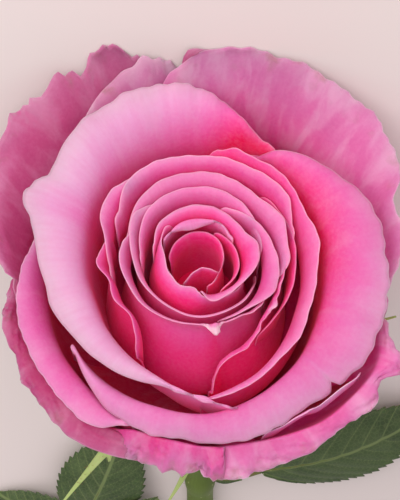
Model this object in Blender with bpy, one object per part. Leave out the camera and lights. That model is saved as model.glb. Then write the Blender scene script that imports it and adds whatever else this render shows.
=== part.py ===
# A cut rose, fully open, lying on a table: bloom, calyx, stem with prickles, and two leaves.
#
# The bloom is laid out in its own upright frame, in millimetres: the axis is +Z, the receptacle's top is
# near z = 0, and a bearing is an angle about the axis, counted from +X towards +Y. The whole rose then lies
# down: the bloom's +Y side rests on the table, and its face looks along -Y and a little up.

import math

import bmesh
import bpy
from mathutils import Matrix, Vector

MM = 0.001

# How the rose lies
TILT = math.radians(25.0)  # the bloom's axis above the table
HEART_HEIGHT = 46.0  # receptacle's top to the heart's rim
HEART_ABOVE_TABLE = 51.95
HEART_FORWARD = 83.0  # from the heart's rim back to the rose's own zero
ROSE_AT = (4.5, -8.5, 0.0)  # puts the origin under the middle of the whole rose

# Petals
PETAL_THICK = 0.7
BOWL_DEPTH = 28.0  # height over which a petal turns from level to upright
CLAW_RADIUS = 8.4  # where a separate petal's claw meets the receptacle
CLAW_ANGLE = 34.0
SEAT_GAP = 0.3  # between a leaf's foot and the stem
END_FALL = 11.0  # how far the rim falls as it rounds off at a petal's end

# Receptacle, with the solid middle that the inner petals stand out of
CORE = [(8.0, -10.6), (8.0, -0.6), (12.0, 1.4), (12.6, 4.0), (12.6, 20.5), (10.0, 23.0), (3.0, 24.0)]
CORE_ROOT = 11.4  # inner petals start this far out, inside the core
CORE_STAND = 19.0  # and the innermost ones at this height

# Calyx: the hip's outline, top to bottom, and its sepals
HIP = [(7.6, -10.9), (8.8, -12.4), (8.2, -16.0), (7.9, -19.0), (6.6, -23.0), (4.9, -26.5), (4.5, -27.4)]
SEPAL_THICK = 0.9

# Stem
STEM_RADIUS = 4.2
STEM_TOP = -27.9
STEM_STRAIGHT = 72.0  # the length that lies on the table
NODE_SWELL = 0.7
PRICKLE_LENGTH = 4.6
# Prickles: distance down the stem and bearing round it, from straight up
PRICKLES = [(13, 40), (27, -75), (41, 80), (54, -20), (84, -60), (97, 60), (110, 10), (134, -70)]

# Leaves
LEAF_THICK = 0.8
PETIOLE_RADIUS = 1.1
TEETH = 6  # on each side of a leaflet

PINK = (0.84, 0.20, 0.42, 1.0)
PALE_PINK = (0.90, 0.42, 0.62, 1.0)
SEPAL_GREEN = (0.22, 0.40, 0.10, 1.0)
STEM_GREEN = (0.20, 0.34, 0.08, 1.0)
LEAF_GREEN = (0.06, 0.16, 0.05, 1.0)

# Each petal is read off as a row of stations along its rim, from its clockwise end round to the other.
# A station is: bearing in degrees, radius and height where the wall ends, radius and height of the rim.
# "belly" is how far the wall swells between root and rim, and "crown" how high the lip arches before it
# turns down to the rim. The petal goes on past its end stations by "ends" degrees, rounding off downwards.
HEART_PETALS = {
    "tongue": dict(
        belly=0.2,
        stations=[(190, 3.2, 33, 3.6, 37), (250, 3.6, 35, 4.4, 40.5), (310, 3.4, 33, 3.8, 37)],
    ),
    "inner_ring": dict(
        belly=0.6,
        stations=[
            (-62, 5.6, 38, 5.9, 42.0),
            (-25, 5.2, 39, 5.2, 43.0),
            (20, 5.6, 40, 6.3, 43.8),
            (60, 6.6, 40, 7.8, 44.0),
            (105, 7.0, 40, 8.4, 44.0),
            (165, 7.0, 38, 8.0, 43.0),
        ],
    ),
    "curl": dict(
        belly=0.6,
        stations=[
            (-64, 8.4, 38, 8.8, 42.4),
            (-20, 8.6, 39, 9.7, 44.0),
            (20, 8.7, 40, 9.6, 44.2),
            (58, 8.6, 39, 9.2, 44.0),
        ],
    ),
    "inner_lip": dict(
        belly=0.4,
        stations=[
            (44, 10.0, 42, 10.2, 44.6),
            (75, 10.6, 44, 9.9, 44.8),
            (100, 10.8, 44.5, 8.8, 44.0),
            (126, 10.8, 44, 9.2, 44.0),
            (152, 10.4, 42, 10.6, 44.0),
        ],
    ),
    "front": dict(
        belly=1.4,
        stations=[
            (134, 12.0, 40, 12.4, 45.6),
            (152, 11.8, 40, 10.6, 46.0),
            (174, 11.6, 39, 8.5, 45.8),
            (206, 11.4, 39, 8.3, 45.5),
            (244, 11.4, 38, 7.7, 45.0),
            (272, 11.4, 38, 8.4, 44.8),
            (302, 11.2, 38, 11.0, 44.0),
        ],
    ),
    "back": dict(
        belly=0.8,
        stations=[
            (-74, 10.0, 39, 11.0, 44.4),
            (-42, 10.2, 40, 12.3, 45.4),
            (-12, 10.4, 41, 14.4, 45.4),
            (14, 10.6, 42, 15.0, 45.8),
            (42, 11.2, 42, 13.4, 46.0),
            (80, 12.6, 42, 14.8, 46.2),
            (116, 12.6, 42, 14.6, 46.2),
            (137, 12.4, 41, 14.2, 46.0),
            (157, 12.0, 40, 12.4, 45.0),
        ],
    ),
    "second_inner": dict(
        belly=1.0,
        stations=[
            (18, 14.8, 40, 16.2, 44.6),
            (58, 16.6, 42, 18.8, 46.6),
            (95, 17.0, 42, 19.6, 47.2),
            (132, 16.4, 42, 18.8, 47.0),
            (152, 15.4, 41, 17.0, 46.4),
            (172, 14.4, 39, 15.2, 45.0),
        ],
    ),
    "second_left": dict(
        belly=2.0,
        stations=[
            (126, 17.2, 40, 19.2, 46.0),
            (146, 17.0, 41, 20.4, 47.2),
            (164, 16.0, 41, 18.3, 47.0),
            (182, 14.9, 40, 16.7, 46.2),
            (205, 14.0, 39, 15.8, 45.4),
            (232, 13.4, 38, 14.9, 44.8),
            (262, 13.2, 38, 14.7, 44.0),
            (304, 13.2, 37, 14.8, 43.0),
        ],
    ),
    "second_right": dict(
        belly=1.6,
        stations=[
            (-64, 14.8, 37, 16.2, 42.8),
            (-44, 15.4, 38, 17.8, 44.2),
            (-24, 15.8, 40, 20.2, 44.8),
            (-6, 15.8, 41, 19.8, 45.6),
            (14, 15.8, 41, 18.6, 46.4),
            (38, 15.4, 41, 17.2, 46.4),
            (62, 14.8, 40, 16.0, 45.6),
        ],
    ),
    "second_back": dict(
        belly=1.4,
        stations=[
            (-16, 17.6, 38, 19.2, 43.6),
            (-3, 18.8, 40, 22.2, 45.6),
            (13, 19.2, 41, 22.4, 46.8),
            (27, 19.6, 42, 23.4, 47.2),
            (50, 19.4, 42, 22.0, 48.0),
            (80, 19.6, 42, 23.2, 48.2),
            (110, 19.6, 42, 23.1, 48.2),
            (136, 19.2, 42, 21.8, 47.8),
            (158, 18.4, 40, 19.4, 46.0),
        ],
    ),
    "third_front": dict(
        belly=3.6,
        ends=(7, 10),
        stations=[
            (156, 17.6, 39, 18.6, 46.6),
            (177, 17.6, 39, 20.3, 47.0),
            (203, 16.6, 37, 18.9, 45.0),
            (229, 15.8, 36, 17.7, 43.8),
            (262, 15.4, 35, 16.4, 43.0),
            (294, 15.8, 35, 17.6, 43.0),
            (324, 17.2, 36, 19.8, 44.8),
        ],
    ),
    "third_right": dict(
        belly=3.0,
        stations=[
            (-86, 20.0, 16, 24.6, 26.0),
            (-74, 20.2, 24, 23.8, 33.0),
            (-58, 20.2, 30, 23.2, 37.4),
            (-42, 19.8, 34, 21.4, 41.2),
            (-26, 19.8, 36, 21.8, 43.6),
            (-8, 20.2, 38, 21.4, 45.2),
            (16, 20.4, 38, 21.8, 45.6),
        ],
    ),
    "fourth_inner": dict(
        belly=0.5,
        stations=[
            (-42, 22.8, 36, 23.8, 41.6),
            (-14, 23.0, 38, 24.8, 45.0),
            (12, 23.0, 39, 24.8, 46.2),
            (42, 22.8, 39, 24.2, 46.4),
        ],
    ),
    "fourth_back": dict(
        belly=1.8,
        stations=[
            (22, 23.0, 38, 25.0, 46.2),
            (36, 24.0, 41, 27.4, 49.0),
            (64, 24.2, 42, 26.9, 50.0),
            (98, 24.4, 42, 27.2, 50.0),
            (120, 24.4, 42, 28.0, 49.4),
            (134, 23.8, 41, 27.2, 48.4),
            (147, 22.6, 39, 24.4, 46.0),
        ],
    ),
    "fourth_left": dict(
        belly=1.6,
        stations=[
            (114, 25.8, 39, 28.6, 47.4),
            (130, 25.2, 41, 27.8, 48.2),
            (142, 25.0, 41, 28.9, 48.0),
            (155, 24.2, 41, 27.8, 47.0),
            (166, 23.2, 40, 24.8, 46.2),
            (182, 21.8, 37, 22.8, 43.0),
        ],
    ),
    "fourth_front_left": dict(
        belly=2.2,
        stations=[
            (170, 22.6, 36, 24.6, 44.4),
            (181, 23.0, 37, 26.4, 44.0),
            (196, 21.6, 36, 24.0, 43.0),
            (214, 20.8, 34, 22.5, 41.4),
            (225, 21.4, 33, 23.0, 41.0),
            (237, 23.4, 29, 27.2, 38.6),
            (246, 24.0, 22, 27.6, 29.0),
        ],
    ),
    "fourth_right": dict(
        belly=1.0,
        stations=[
            (-92, 30.2, 34, 32.2, 40.2),
            (-74, 29.6, 35, 33.8, 42.0),
            (-58, 28.4, 36, 32.2, 43.2),
            (-40, 27.6, 38, 31.2, 44.4),
            (-20, 27.2, 40, 30.6, 45.8),
            (4, 27.0, 41, 30.4, 47.4),
            (17, 27.0, 42, 29.4, 48.2),
            (34, 27.4, 42, 30.4, 49.0),
            (52, 27.8, 42, 31.2, 49.6),
            (68, 27.8, 41, 30.4, 50.0),
            (77, 27.2, 38, 28.8, 46.0),
        ],
    ),
}

OUTER_PETALS = {
    "cup_petal_left": dict(
        claw=176,
        seat=-2.8,
        crown=4.0,
        stations=[
            (64, 34.6, 34, 36.8, 47.0),
            (72, 34.8, 38, 38.0, 50.4),
            (82, 34.8, 40, 42.5, 52.0),
            (101, 34.6, 41, 47.4, 53.0),
            (129, 33.4, 42, 47.2, 51.0),
            (147, 31.8, 42, 45.0, 48.0),
            (157, 30.6, 42, 48.0, 46.0),
            (169, 29.8, 42, 42.5, 45.0),
            (184, 29.4, 42, 39.6, 44.0),
            (198, 29.4, 41, 37.6, 42.0),
            (212, 29.4, 40, 36.0, 41.0),
            (231, 29.8, 39, 34.4, 40.0),
            (250, 31.4, 38, 33.4, 40.0),
            (268, 34.2, 37, 35.8, 40.0),
            (282, 36.2, 34, 37.2, 38.0),
        ],
    ),
    "cup_petal_right": dict(
        claw=318,
        seat=-4.0,
        crown=3.0,
        stations=[
            (-144, 37.8, 33, 38.8, 38.0),
            (-134, 38.0, 35, 41.2, 38.0),
            (-120, 38.2, 37, 42.9, 36.6),
            (-90, 38.8, 38, 43.8, 34.6),
            (-66, 37.8, 39, 44.6, 36.0),
            (-45, 36.6, 40, 45.2, 39.0),
            (-32, 34.6, 41, 46.6, 41.0),
            (-16, 32.6, 42, 47.8, 44.0),
            (-3, 31.4, 42, 46.6, 46.0),
            (12, 31.2, 42, 46.0, 47.6),
            (30, 31.8, 41, 42.4, 49.0),
            (44, 32.4, 40, 38.6, 49.0),
            (55, 32.6, 38, 35.8, 47.6),
            (63, 32.6, 34, 33.8, 43.0),
        ],
    ),
    "cup_petal_low": dict(
        claw=216,
        seat=-4.9,
        crown=2.0,
        stations=[
            (168, 38.8, 30, 42.4, 40.4),
            (182, 39.2, 32, 45.4, 40.4),
            (198, 39.8, 33, 47.4, 38.4),
            (218, 40.6, 33, 48.6, 37.0),
            (230, 41.0, 33, 49.6, 36.0),
            (239, 41.4, 32, 49.4, 35.4),
            (248, 42.0, 30, 46.4, 34.6),
            (256, 42.2, 26, 44.6, 31.0),
        ],
    ),
    "guard_petal_back": dict(
        claw=108,
        ends=(6, 10),
        fall=0.0,
        seat=-6.1,
        crown=0.0,
        stations=[
            (91, 40.2, 27, 53.6, 42.4),
            (97, 40.4, 28, 56.6, 47.0),
            (104, 41.0, 29, 57.8, 49.0),
            (113, 42.0, 30, 56.6, 48.4),
            (122, 42.4, 30, 53.0, 47.0),
            (134, 41.8, 28, 47.0, 43.0),
        ],
    ),
    "guard_petal_right": dict(
        claw=40,
        fall=0.0,
        seat=-5.4,
        crown=-1.0,
        stations=[
            (-12, 41.6, 25, 45.6, 36.0),
            (-3, 42.8, 27, 48.6, 40.0),
            (9, 44.0, 28, 52.2, 41.2),
            (21, 45.0, 28, 53.4, 42.0),
            (28, 46.0, 28, 58.0, 42.4),
            (40, 46.6, 28, 61.4, 44.0),
            (57, 47.0, 29, 61.8, 46.4),
            (70, 44.8, 30, 60.8, 49.4),
            (82, 39.8, 31, 59.6, 51.2),
            (89, 38.4, 31, 57.4, 50.6),
            (96, 37.6, 30, 54.0, 48.6),
        ],
    ),
    "guard_petal_left": dict(
        claw=146,
        fall=0.0,
        seat=-7.3,
        crown=-1.0,
        stations=[
            (90, 41.7, 26, 51.0, 37.0),
            (97, 42.0, 27, 56.0, 43.6),
            (104, 42.7, 27, 58.0, 45.2),
            (110, 43.9, 28, 63.4, 51.6),
            (116, 44.6, 28, 64.6, 49.0),
            (120.5, 45.2, 28, 61.4, 46.4),
            (124.5, 45.8, 28, 65.0, 47.4),
            (131, 46.6, 28, 62.6, 46.0),
            (140, 47.2, 27, 64.4, 44.4),
            (152, 47.6, 27, 61.0, 42.0),
            (164, 46.4, 27, 56.6, 42.0),
            (175, 44.4, 27, 51.6, 40.6),
            (182, 43.2, 26, 47.0, 38.0),
        ],
    ),
    "guard_petal_low": dict(
        claw=196,
        fall=0.0,
        seat=-6.0,
        crown=-1.0,
        stations=[
            (184, 47.0, 17, 49.0, 31.0),
            (192, 47.0, 19, 51.0, 33.0),
            (205, 46.4, 20, 51.4, 31.0),
            (220, 45.6, 20, 51.4, 29.4),
            (234, 44.8, 20, 51.4, 28.4),
            (246, 44.0, 19, 49.0, 26.4),
            (254, 43.4, 17, 46.4, 24.0),
        ],
    ),
    "guard_petal_front": dict(
        claw=268,
        fall=0.0,
        seat=-7.3,
        crown=-1.0,
        stations=[
            (234, 46.6, 13, 49.4, 24.0),
            (246, 46.6, 16, 50.6, 27.0),
            (258, 46.6, 17, 51.4, 28.0),
            (270, 46.6, 18, 51.8, 28.4),
            (284, 46.4, 18, 51.8, 28.4),
            (296, 46.2, 17, 50.4, 28.0),
            (302, 46.2, 15, 48.8, 26.0),
        ],
    ),
    "guard_petal_front_right": dict(
        claw=322,
        fall=0.0,
        seat=-6.2,
        crown=-1.0,
        stations=[
            (-78, 43.2, 18, 47.0, 28.0),
            (-66, 43.6, 20, 49.6, 30.0),
            (-55, 44.0, 21, 50.8, 31.0),
            (-44, 44.2, 22, 51.6, 33.0),
            (-36, 44.2, 23, 55.4, 36.4),
            (-29, 44.2, 24, 58.0, 40.4),
            (-23, 44.2, 24, 52.6, 39.4),
            (-14, 43.6, 22, 47.0, 36.0),
        ],
    ),
}

# Sepals: bearings of the base and of the tip, radius and height halfway and at the tip, width, side lobes
SEPALS = [
    (10, 7, 32.0, -19.0, 55.0, -7.0, 8.4, True),
    (84, 90, 17.0, -12.0, 22.0, -21.0, 9.0, False),
    (154, 172, 32.0, -18.0, 54.0, -6.0, 8.4, True),
    (230, 226, 32.0, -13.0, 56.0, -31.0, 8.8, True),
    (296, 256, 28.0, -13.0, 40.0, -36.0, 8.0, False),
]

# Leaves: distance of the node down the stem, points (x, y, z) of the stalk after it, and the leaflets as
# (point of the stalk that carries it, heading from -Y towards +X, length, width, height of the tip)
LEAVES = {
    "leaf_upper": dict(
        node=66.0,
        stalk=[(-11, 46, 6.0), (-19, 42, 7.0)],
        leaflets=[(1, -66, 60.0, 27.0, 2.6)],
    ),
    "leaf_lower": dict(
        node=122.0,
        stalk=[(13, 97, 5.0), (24, 86, 5.0), (33, 75, 5.0), (38, 67, 5.0)],
        leaflets=[
            (3, -20, 44.0, 27.0, 2.0),
            (2, 62, 36.0, 22.0, 1.6),
            (2, -44, 28.0, 18.0, 7.0),
            (0, 78, 30.0, 19.0, 1.6),
            (0, 5, 22.0, 14.0, 7.0),
        ],
    ),
}


def smooth(t):
    """Nought to one, level at both ends."""
    t = min(1.0, max(0.0, t))
    return t * t * (3.0 - 2.0 * t)


def along(rows, column, at):
    """A smooth curve through one column of the rows, read at a value of column 0."""
    last = len(rows) - 1
    i = 0
    while i < last - 1 and rows[i + 1][0] < at:
        i += 1
    h = rows[i + 1][0] - rows[i][0]
    y0, y1 = rows[i][column], rows[i + 1][column]

    def slope(k):
        a, b = max(0, k - 1), min(last, k + 1)
        return h * (rows[b][column] - rows[a][column]) / (rows[b][0] - rows[a][0])

    t = min(1.0, max(0.0, (at - rows[i][0]) / h))
    ends = y0 * (1 + 2 * t) * (1 - t) ** 2 + y1 * t * t * (3 - 2 * t)
    return ends + slope(i) * t * (1 - t) ** 2 - slope(i + 1) * t * t * (1 - t)


def curve(a, b, c, t):
    """A point on the quadratic curve from a to c that bends towards b."""
    return a * (1 - t) ** 2 + b * 2 * t * (1 - t) + c * t * t


def wall_profile(wall, top, floor, depth, root, belly, steps):
    """Points (radius, height) up a petal's wall: out along its bowl from the root, then up to the top."""
    start = math.asin(min(1.0, root / wall))
    points = []
    for i in range(steps + 1):
        t = i / steps
        bend = start + (math.pi / 2 - start) * min(1.0, t / 0.6)
        radius, height = wall * math.sin(bend), floor + depth * (1 - math.cos(bend))
        if t > 0.6:
            height += (top - height) * (t - 0.6) / 0.4
        points.append((radius + belly * math.sin(math.pi * t) ** 2, height))
    return points


def standing_profile(wall, top, belly, steps):
    """Points (radius, height) up the wall of a petal that stands on the core's top."""
    points = []
    for i in range(steps + 1):
        t = i / steps
        radius = min(wall, CORE_ROOT) + (wall - min(wall, CORE_ROOT)) * smooth(2 * t)
        points.append((radius + belly * math.sin(math.pi * t) ** 2, CORE_STAND + (top - CORE_STAND) * t))
    return points


def rim_bearings(petal):
    """Bearings across a petal, each with how far round a rounded end it is, from nought to one."""
    rows = petal["stations"]
    step = petal.get("step", 24.0 if "claw" not in petal else 16.0)
    start, finish = petal.get("ends", (10.0, 10.0))
    found = [(rows[0][0] - start, 1.0), (rows[0][0] - 0.7 * start, 0.7)]
    for here, there in zip(rows, rows[1:]):
        parts = math.ceil((there[0] - here[0]) / step - 0.2)
        found += [(here[0] + (there[0] - here[0]) * k / parts, 0.0) for k in range(parts)]
    found.append((rows[-1][0], 0.0))
    found += [(rows[-1][0] + 0.7 * finish, 0.7), (rows[-1][0] + finish, 1.0)]
    return found


def petal_grid(petal, wall_steps, lip_steps):
    """The petal's middle surface: a row of points from root to rim for each bearing across it."""
    rows = petal["stations"]
    inner = "claw" not in petal
    middle = petal.get("claw", 0.0)
    if middle > rows[-1][0]:
        middle -= 360
    claw_share = 1.0 if inner else min(1.0, CLAW_ANGLE / (rows[-1][0] - rows[0][0]))
    grid = []
    for bearing, end in rim_bearings(petal):
        wall, top, rim, rim_top = (along(rows, k, bearing) for k in (1, 2, 3, 4))
        floor = petal.get("seat", 1.5 - 0.1 * (wall - 12.0))
        depth = min(BOWL_DEPTH, 0.72 * (top - floor))
        rounding = 1 - math.sqrt(1 - end * end)
        reach = 1 - 0.85 * rounding
        drop = min(petal.get("fall", END_FALL), 0.8 * (top - floor - depth)) * max(0.0, 2 * rounding - 1)
        top, rim_top = top - drop, rim_top - drop
        belly = petal.get("belly", 0.0)
        if inner and wall < CORE_ROOT + 1.6:
            profile = standing_profile(wall, top, belly, wall_steps)
        else:
            root = CORE_ROOT if inner else CLAW_RADIUS
            profile = wall_profile(wall, top, floor, depth, root, belly, wall_steps)
        over = (wall + 0.2 * (rim - wall), top + 0.5 * (rim_top - top) + petal.get("crown", 1.0))
        for i in range(1, lip_steps + 1):
            t = reach * i / lip_steps
            profile.append(tuple(curve(a, b, c, t) for a, b, c in zip((wall, top), over, (rim, rim_top))))
        line = []
        for i, (radius, height) in enumerate(profile):
            spread = claw_share + (1 - claw_share) * smooth(i / (0.62 * wall_steps))
            angle = math.radians(middle + (bearing - middle) * spread)
            line.append(Vector((radius * math.cos(angle), radius * math.sin(angle), height)))
        grid.append(line)
    return grid


def normals_of(grid):
    """Unit normals of a grid of points, by differences between neighbours."""
    across, up = len(grid) - 1, len(grid[0]) - 1
    found = []
    for c in range(across + 1):
        line = []
        for r in range(up + 1):
            side = grid[min(c + 1, across)][r] - grid[max(c - 1, 0)][r]
            rise = grid[c][min(r + 1, up)] - grid[c][max(r - 1, 0)]
            line.append(side.cross(rise).normalized())
        found.append(line)
    return found


def closed_mesh(name, points, faces):
    """A mesh from points in millimetres, with its faces turned outwards."""
    mesh = bpy.data.meshes.new(name)
    mesh.from_pydata([p * MM for p in points], [], faces)
    shape = bmesh.new()
    shape.from_mesh(mesh)
    bmesh.ops.recalc_face_normals(shape, faces=shape.faces)
    shape.to_mesh(mesh)
    shape.free()
    return mesh


def sheet_mesh(name, grid, thick):
    """A closed sheet of even thickness about a grid of points, both faces split into triangles alike."""
    across, up = len(grid), len(grid[0])
    normals = normals_of(grid)
    half = thick / 2
    points = [grid[c][r] + normals[c][r] * half for c in range(across) for r in range(up)]
    points += [grid[c][r] - normals[c][r] * half for c in range(across) for r in range(up)]
    other = across * up
    faces = []
    for c in range(across - 1):
        for r in range(up - 1):
            a, b, d, e = c * up + r, (c + 1) * up + r, (c + 1) * up + r + 1, c * up + r + 1
            faces += [(a, b, d), (a, d, e)]
            faces += [(other + d, other + b, other + a), (other + e, other + d, other + a)]
    border = [c * up for c in range(across)] + [(across - 1) * up + r for r in range(1, up)]
    border += [c * up + up - 1 for c in range(across - 2, -1, -1)] + list(range(up - 2, 0, -1))
    for a, b in zip(border, border[1:] + border[:1]):
        faces += [(b, a, other + a), (b, other + a, other + b)]
    return closed_mesh(name, points, faces)


def tube_mesh(name, path, radii, sides, across):
    """A closed tube along a path of points, its rings laid out from the direction "across"."""
    points, faces = [], []
    last = len(path) - 1
    for i, centre in enumerate(path):
        ahead = (path[min(i + 1, last)] - path[max(i - 1, 0)]).normalized()
        side = (across - ahead * across.dot(ahead)).normalized()
        rise = ahead.cross(side)
        for s in range(sides):
            angle = 2 * math.pi * s / sides
            points.append(centre + (side * math.cos(angle) + rise * math.sin(angle)) * radii[i])
    for i in range(last):
        for s in range(sides):
            a, b = i * sides + s, i * sides + (s + 1) % sides
            faces.append((a, b, b + sides, a + sides))
    faces += [tuple(range(sides - 1, -1, -1)), tuple(range(last * sides, last * sides + sides))]
    return closed_mesh(name, points, faces)


def turned_mesh(name, profile, sides):
    """A closed solid turned about the Z axis from (radius, height) points."""
    path = [Vector((0, 0, height)) for radius, height in profile]
    return tube_mesh(name, path, [radius for radius, height in profile], sides, Vector((1, 0, 0)))


def add_object(name, mesh, colour=None):
    obj = bpy.data.objects.new(name, mesh)
    bpy.context.scene.collection.objects.link(obj)
    if colour is not None:
        obj.data.materials.append(colour)
    return obj


def material(name, colour, roughness):
    made = bpy.data.materials.new(name)
    made.use_nodes = True
    shader = made.node_tree.nodes["Principled BSDF"]
    shader.inputs["Base Color"].default_value = colour
    shader.inputs["Roughness"].default_value = roughness
    shader.inputs["Metallic"].default_value = 0.0
    return made


def keep_outer_skin(mesh):
    """Keeps the mesh's largest connected skin: hollows that fusing sealed are filled, scraps go."""
    shape = bmesh.new()
    shape.from_mesh(mesh)
    left, skins = set(shape.verts), []
    while left:
        skin, fresh = set(), {left.pop()}
        while fresh:
            skin |= fresh
            fresh = {edge.other_vert(vert) for vert in fresh for edge in vert.link_edges} - skin
        left -= skin
        skins.append(skin)
    skins.sort(key=len)
    for skin in skins[:-1]:
        bmesh.ops.delete(shape, geom=list(skin), context="VERTS")
    shape.to_mesh(mesh)
    shape.free()


def fuse(body, meshes):
    """Joins the meshes to the body with one Boolean union, and removes their objects."""
    gathered = bpy.data.collections.new(body.name + "_pieces")
    bpy.context.scene.collection.children.link(gathered)
    pieces = [bpy.data.objects.new(mesh.name, mesh) for mesh in meshes]
    for piece in pieces:
        gathered.objects.link(piece)
    union = body.modifiers.new("union", "BOOLEAN")
    union.operation = "UNION"
    union.operand_type = "COLLECTION"
    union.collection = gathered
    union.solver = "MANIFOLD"
    bpy.context.view_layer.update()
    joined = bpy.data.meshes.new_from_object(body.evaluated_get(bpy.context.evaluated_depsgraph_get()))
    keep_outer_skin(joined)
    body.modifiers.remove(union)
    colour = body.data.materials[0]
    body.data = joined
    body.data.materials.clear()
    body.data.materials.append(colour)
    for piece in pieces:
        bpy.data.objects.remove(piece)
    bpy.data.collections.remove(gathered)


def build_heart(colour):
    """The receptacle with the tightly wrapped inner petals, their roots sunk into it."""
    heart = add_object("bloom_heart", turned_mesh("bloom_heart", CORE, 16), colour)
    petals = HEART_PETALS.items()
    fuse(heart, [sheet_mesh(name, petal_grid(petal, 2, 2), PETAL_THICK) for name, petal in petals])
    return heart


def build_outer_petals(colour):
    """The large petals, each a piece of its own with its claw against the receptacle."""
    found = []
    for name, petal in OUTER_PETALS.items():
        found.append(add_object(name, sheet_mesh(name, petal_grid(petal, 4, 3), PETAL_THICK), colour))
    return found


def polar(radius, bearing, height):
    angle = math.radians(bearing)
    return Vector((radius * math.cos(angle), radius * math.sin(angle), height))


def sepal_mesh(base, tip, mid_radius, mid_height, tip_radius, tip_height, width, lobed):
    """A lance-shaped sepal from inside the hip's rim out to its tip, with small side lobes on some."""
    middle = (base + tip) / 2
    points = [polar(6.5, base, -12.6), polar(mid_radius, middle, mid_height), polar(tip_radius, tip, tip_height)]
    steps = 10
    grid = []
    for i in range(steps + 1):
        t = i / steps
        centre = curve(*points, t)
        ahead = (curve(*points, t + 0.01) - curve(*points, t - 0.01)).normalized()
        side = Vector((0, 0, 1)).cross(ahead).normalized()
        half = width / 2 * (0.12 + 0.88 * (1 - t) ** 1.3 * smooth(3.2 * t + 0.55))
        if lobed and i in (4, 6):
            half += 1.5
        sag = Vector((0, 0, -0.22 * half))
        grid.append([centre - side * half + sag, centre, centre + side * half + sag])
    return sheet_mesh("sepal", grid, SEPAL_THICK)


def build_calyx(colour):
    calyx = add_object("calyx", turned_mesh("calyx", HIP, 14), colour)
    fuse(calyx, [sepal_mesh(*sepal) for sepal in SEPALS])
    return calyx


def bloom_to_table():
    """The turn and shift, in millimetres, that lay the upright bloom down."""
    side = Vector((-1.0, 0.0, 0.0))
    back = Vector((0.0, -math.sin(TILT), -math.cos(TILT)))
    axis = Vector((0.0, -math.cos(TILT), math.sin(TILT)))
    heart = Vector((0.0, -HEART_FORWARD, HEART_ABOVE_TABLE))
    return Matrix.Translation(heart - axis * HEART_HEIGHT) @ Matrix((side, back, axis)).transposed().to_4x4()


def stem_at(distance):
    """The stem's middle at a distance down it: bending out of the calyx, then level on the table."""
    top = bloom_to_table() @ Vector((0, 0, STEM_TOP))
    bend = (top.z - STEM_RADIUS) / (1 - math.cos(TILT))
    turned = min(TILT, distance / bend)
    run = max(0.0, distance - TILT * bend)
    y = top.y + bend * (math.sin(TILT) - math.sin(TILT - turned)) + run
    z = STEM_RADIUS + bend * (1 - math.cos(TILT - turned))
    return Vector((top.x, y, z))


def stem_length():
    top = bloom_to_table() @ Vector((0, 0, STEM_TOP))
    return TILT * (top.z - STEM_RADIUS) / (1 - math.cos(TILT)) + STEM_STRAIGHT


def prickle_mesh(distance, bearing):
    """A broad-based prickle that hooks back down the stem."""
    centre = stem_at(distance)
    ahead = (stem_at(distance + 1) - centre).normalized()
    angle = math.radians(bearing)
    rise = Vector((1, 0, 0)).cross(ahead).normalized()
    out = Vector((1, 0, 0)) * math.sin(angle) + rise * math.cos(angle)
    root = centre + out * (STEM_RADIUS - 1.2)
    path = [root, centre + out * (STEM_RADIUS + 0.8), centre + out * (STEM_RADIUS + 2.6) + ahead * 1.0]
    path.append(centre + out * (STEM_RADIUS + PRICKLE_LENGTH) + ahead * 3.0)
    return tube_mesh("prickle", path, [2.2, 1.7, 0.9, 0.2], 5, ahead)


def build_stem(colour):
    length = stem_length()
    nodes = [leaf["node"] for leaf in LEAVES.values()]
    stops = {length * i / 16 for i in range(17)} | {node + d for node in nodes for d in (-4, 0, 4)}
    stops = sorted(stops)
    radii = [STEM_RADIUS + (NODE_SWELL if s in nodes else 0.0) for s in stops]
    path = [stem_at(s) for s in stops]
    for i, s in enumerate(stops):
        if s in nodes:
            path[i].z += NODE_SWELL
    stem = add_object("stem", tube_mesh("stem", path, radii, 12, Vector((1, 0, 0))), colour)
    fuse(stem, [prickle_mesh(*prickle) for prickle in PRICKLES])
    return stem


def leaflet_mesh(base, heading, length, width, tip_height):
    """An oval pointed blade, folded a little along its rib, arched, with forward teeth on both edges."""
    angle = math.radians(heading)
    ahead = Vector((math.sin(angle), -math.cos(angle), 0))
    side = Vector((math.cos(angle), math.sin(angle), 0))
    steps = 2 * TEETH
    grid = []
    for i in range(steps + 1):
        t = i / steps
        height = base.z + (tip_height - base.z) * t + 0.10 * length * math.sin(math.pi * t)
        rib = Vector((base.x, base.y, height)) + ahead * length * t
        half = width / 2 * (0.06 + 0.94 * math.sin(math.pi * t ** 0.8) ** 0.85) if t < 1 else 0.5
        forward = ahead * 0.0
        if i % 2:
            forward = ahead * length * 0.035
        else:
            half *= 0.88
        droop = Vector((0, 0, -0.16 * half))
        grid.append([rib - side * half + forward + droop, rib, rib + side * half + forward + droop])
    return sheet_mesh("leaflet", grid, LEAF_THICK)


def build_leaf(name, leaf, colour):
    """One leaf: a stalk that starts against its node on the stem, with its leaflets fused to it."""
    start = stem_at(leaf["node"])
    stalk = [Vector(point) for point in leaf["stalk"]]
    out = (stalk[0] - start).normalized()
    ahead = (stem_at(leaf["node"] + 1) - start).normalized()
    lean = out.dot(ahead)
    foot = 1.6 * PETIOLE_RADIUS
    start += (out - ahead * lean).normalized() * (STEM_RADIUS + NODE_SWELL + SEAT_GAP + foot * abs(lean))
    path = [start] + stalk
    radii = [foot] + [PETIOLE_RADIUS * (1 - 0.08 * k) for k in range(len(stalk))]
    body = add_object(name, tube_mesh(name, path, radii, 6, Vector((0, 0, 1))), colour)
    fuse(body, [leaflet_mesh(stalk[k], heading, *rest) for k, heading, *rest in leaf["leaflets"]])
    return body


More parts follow.
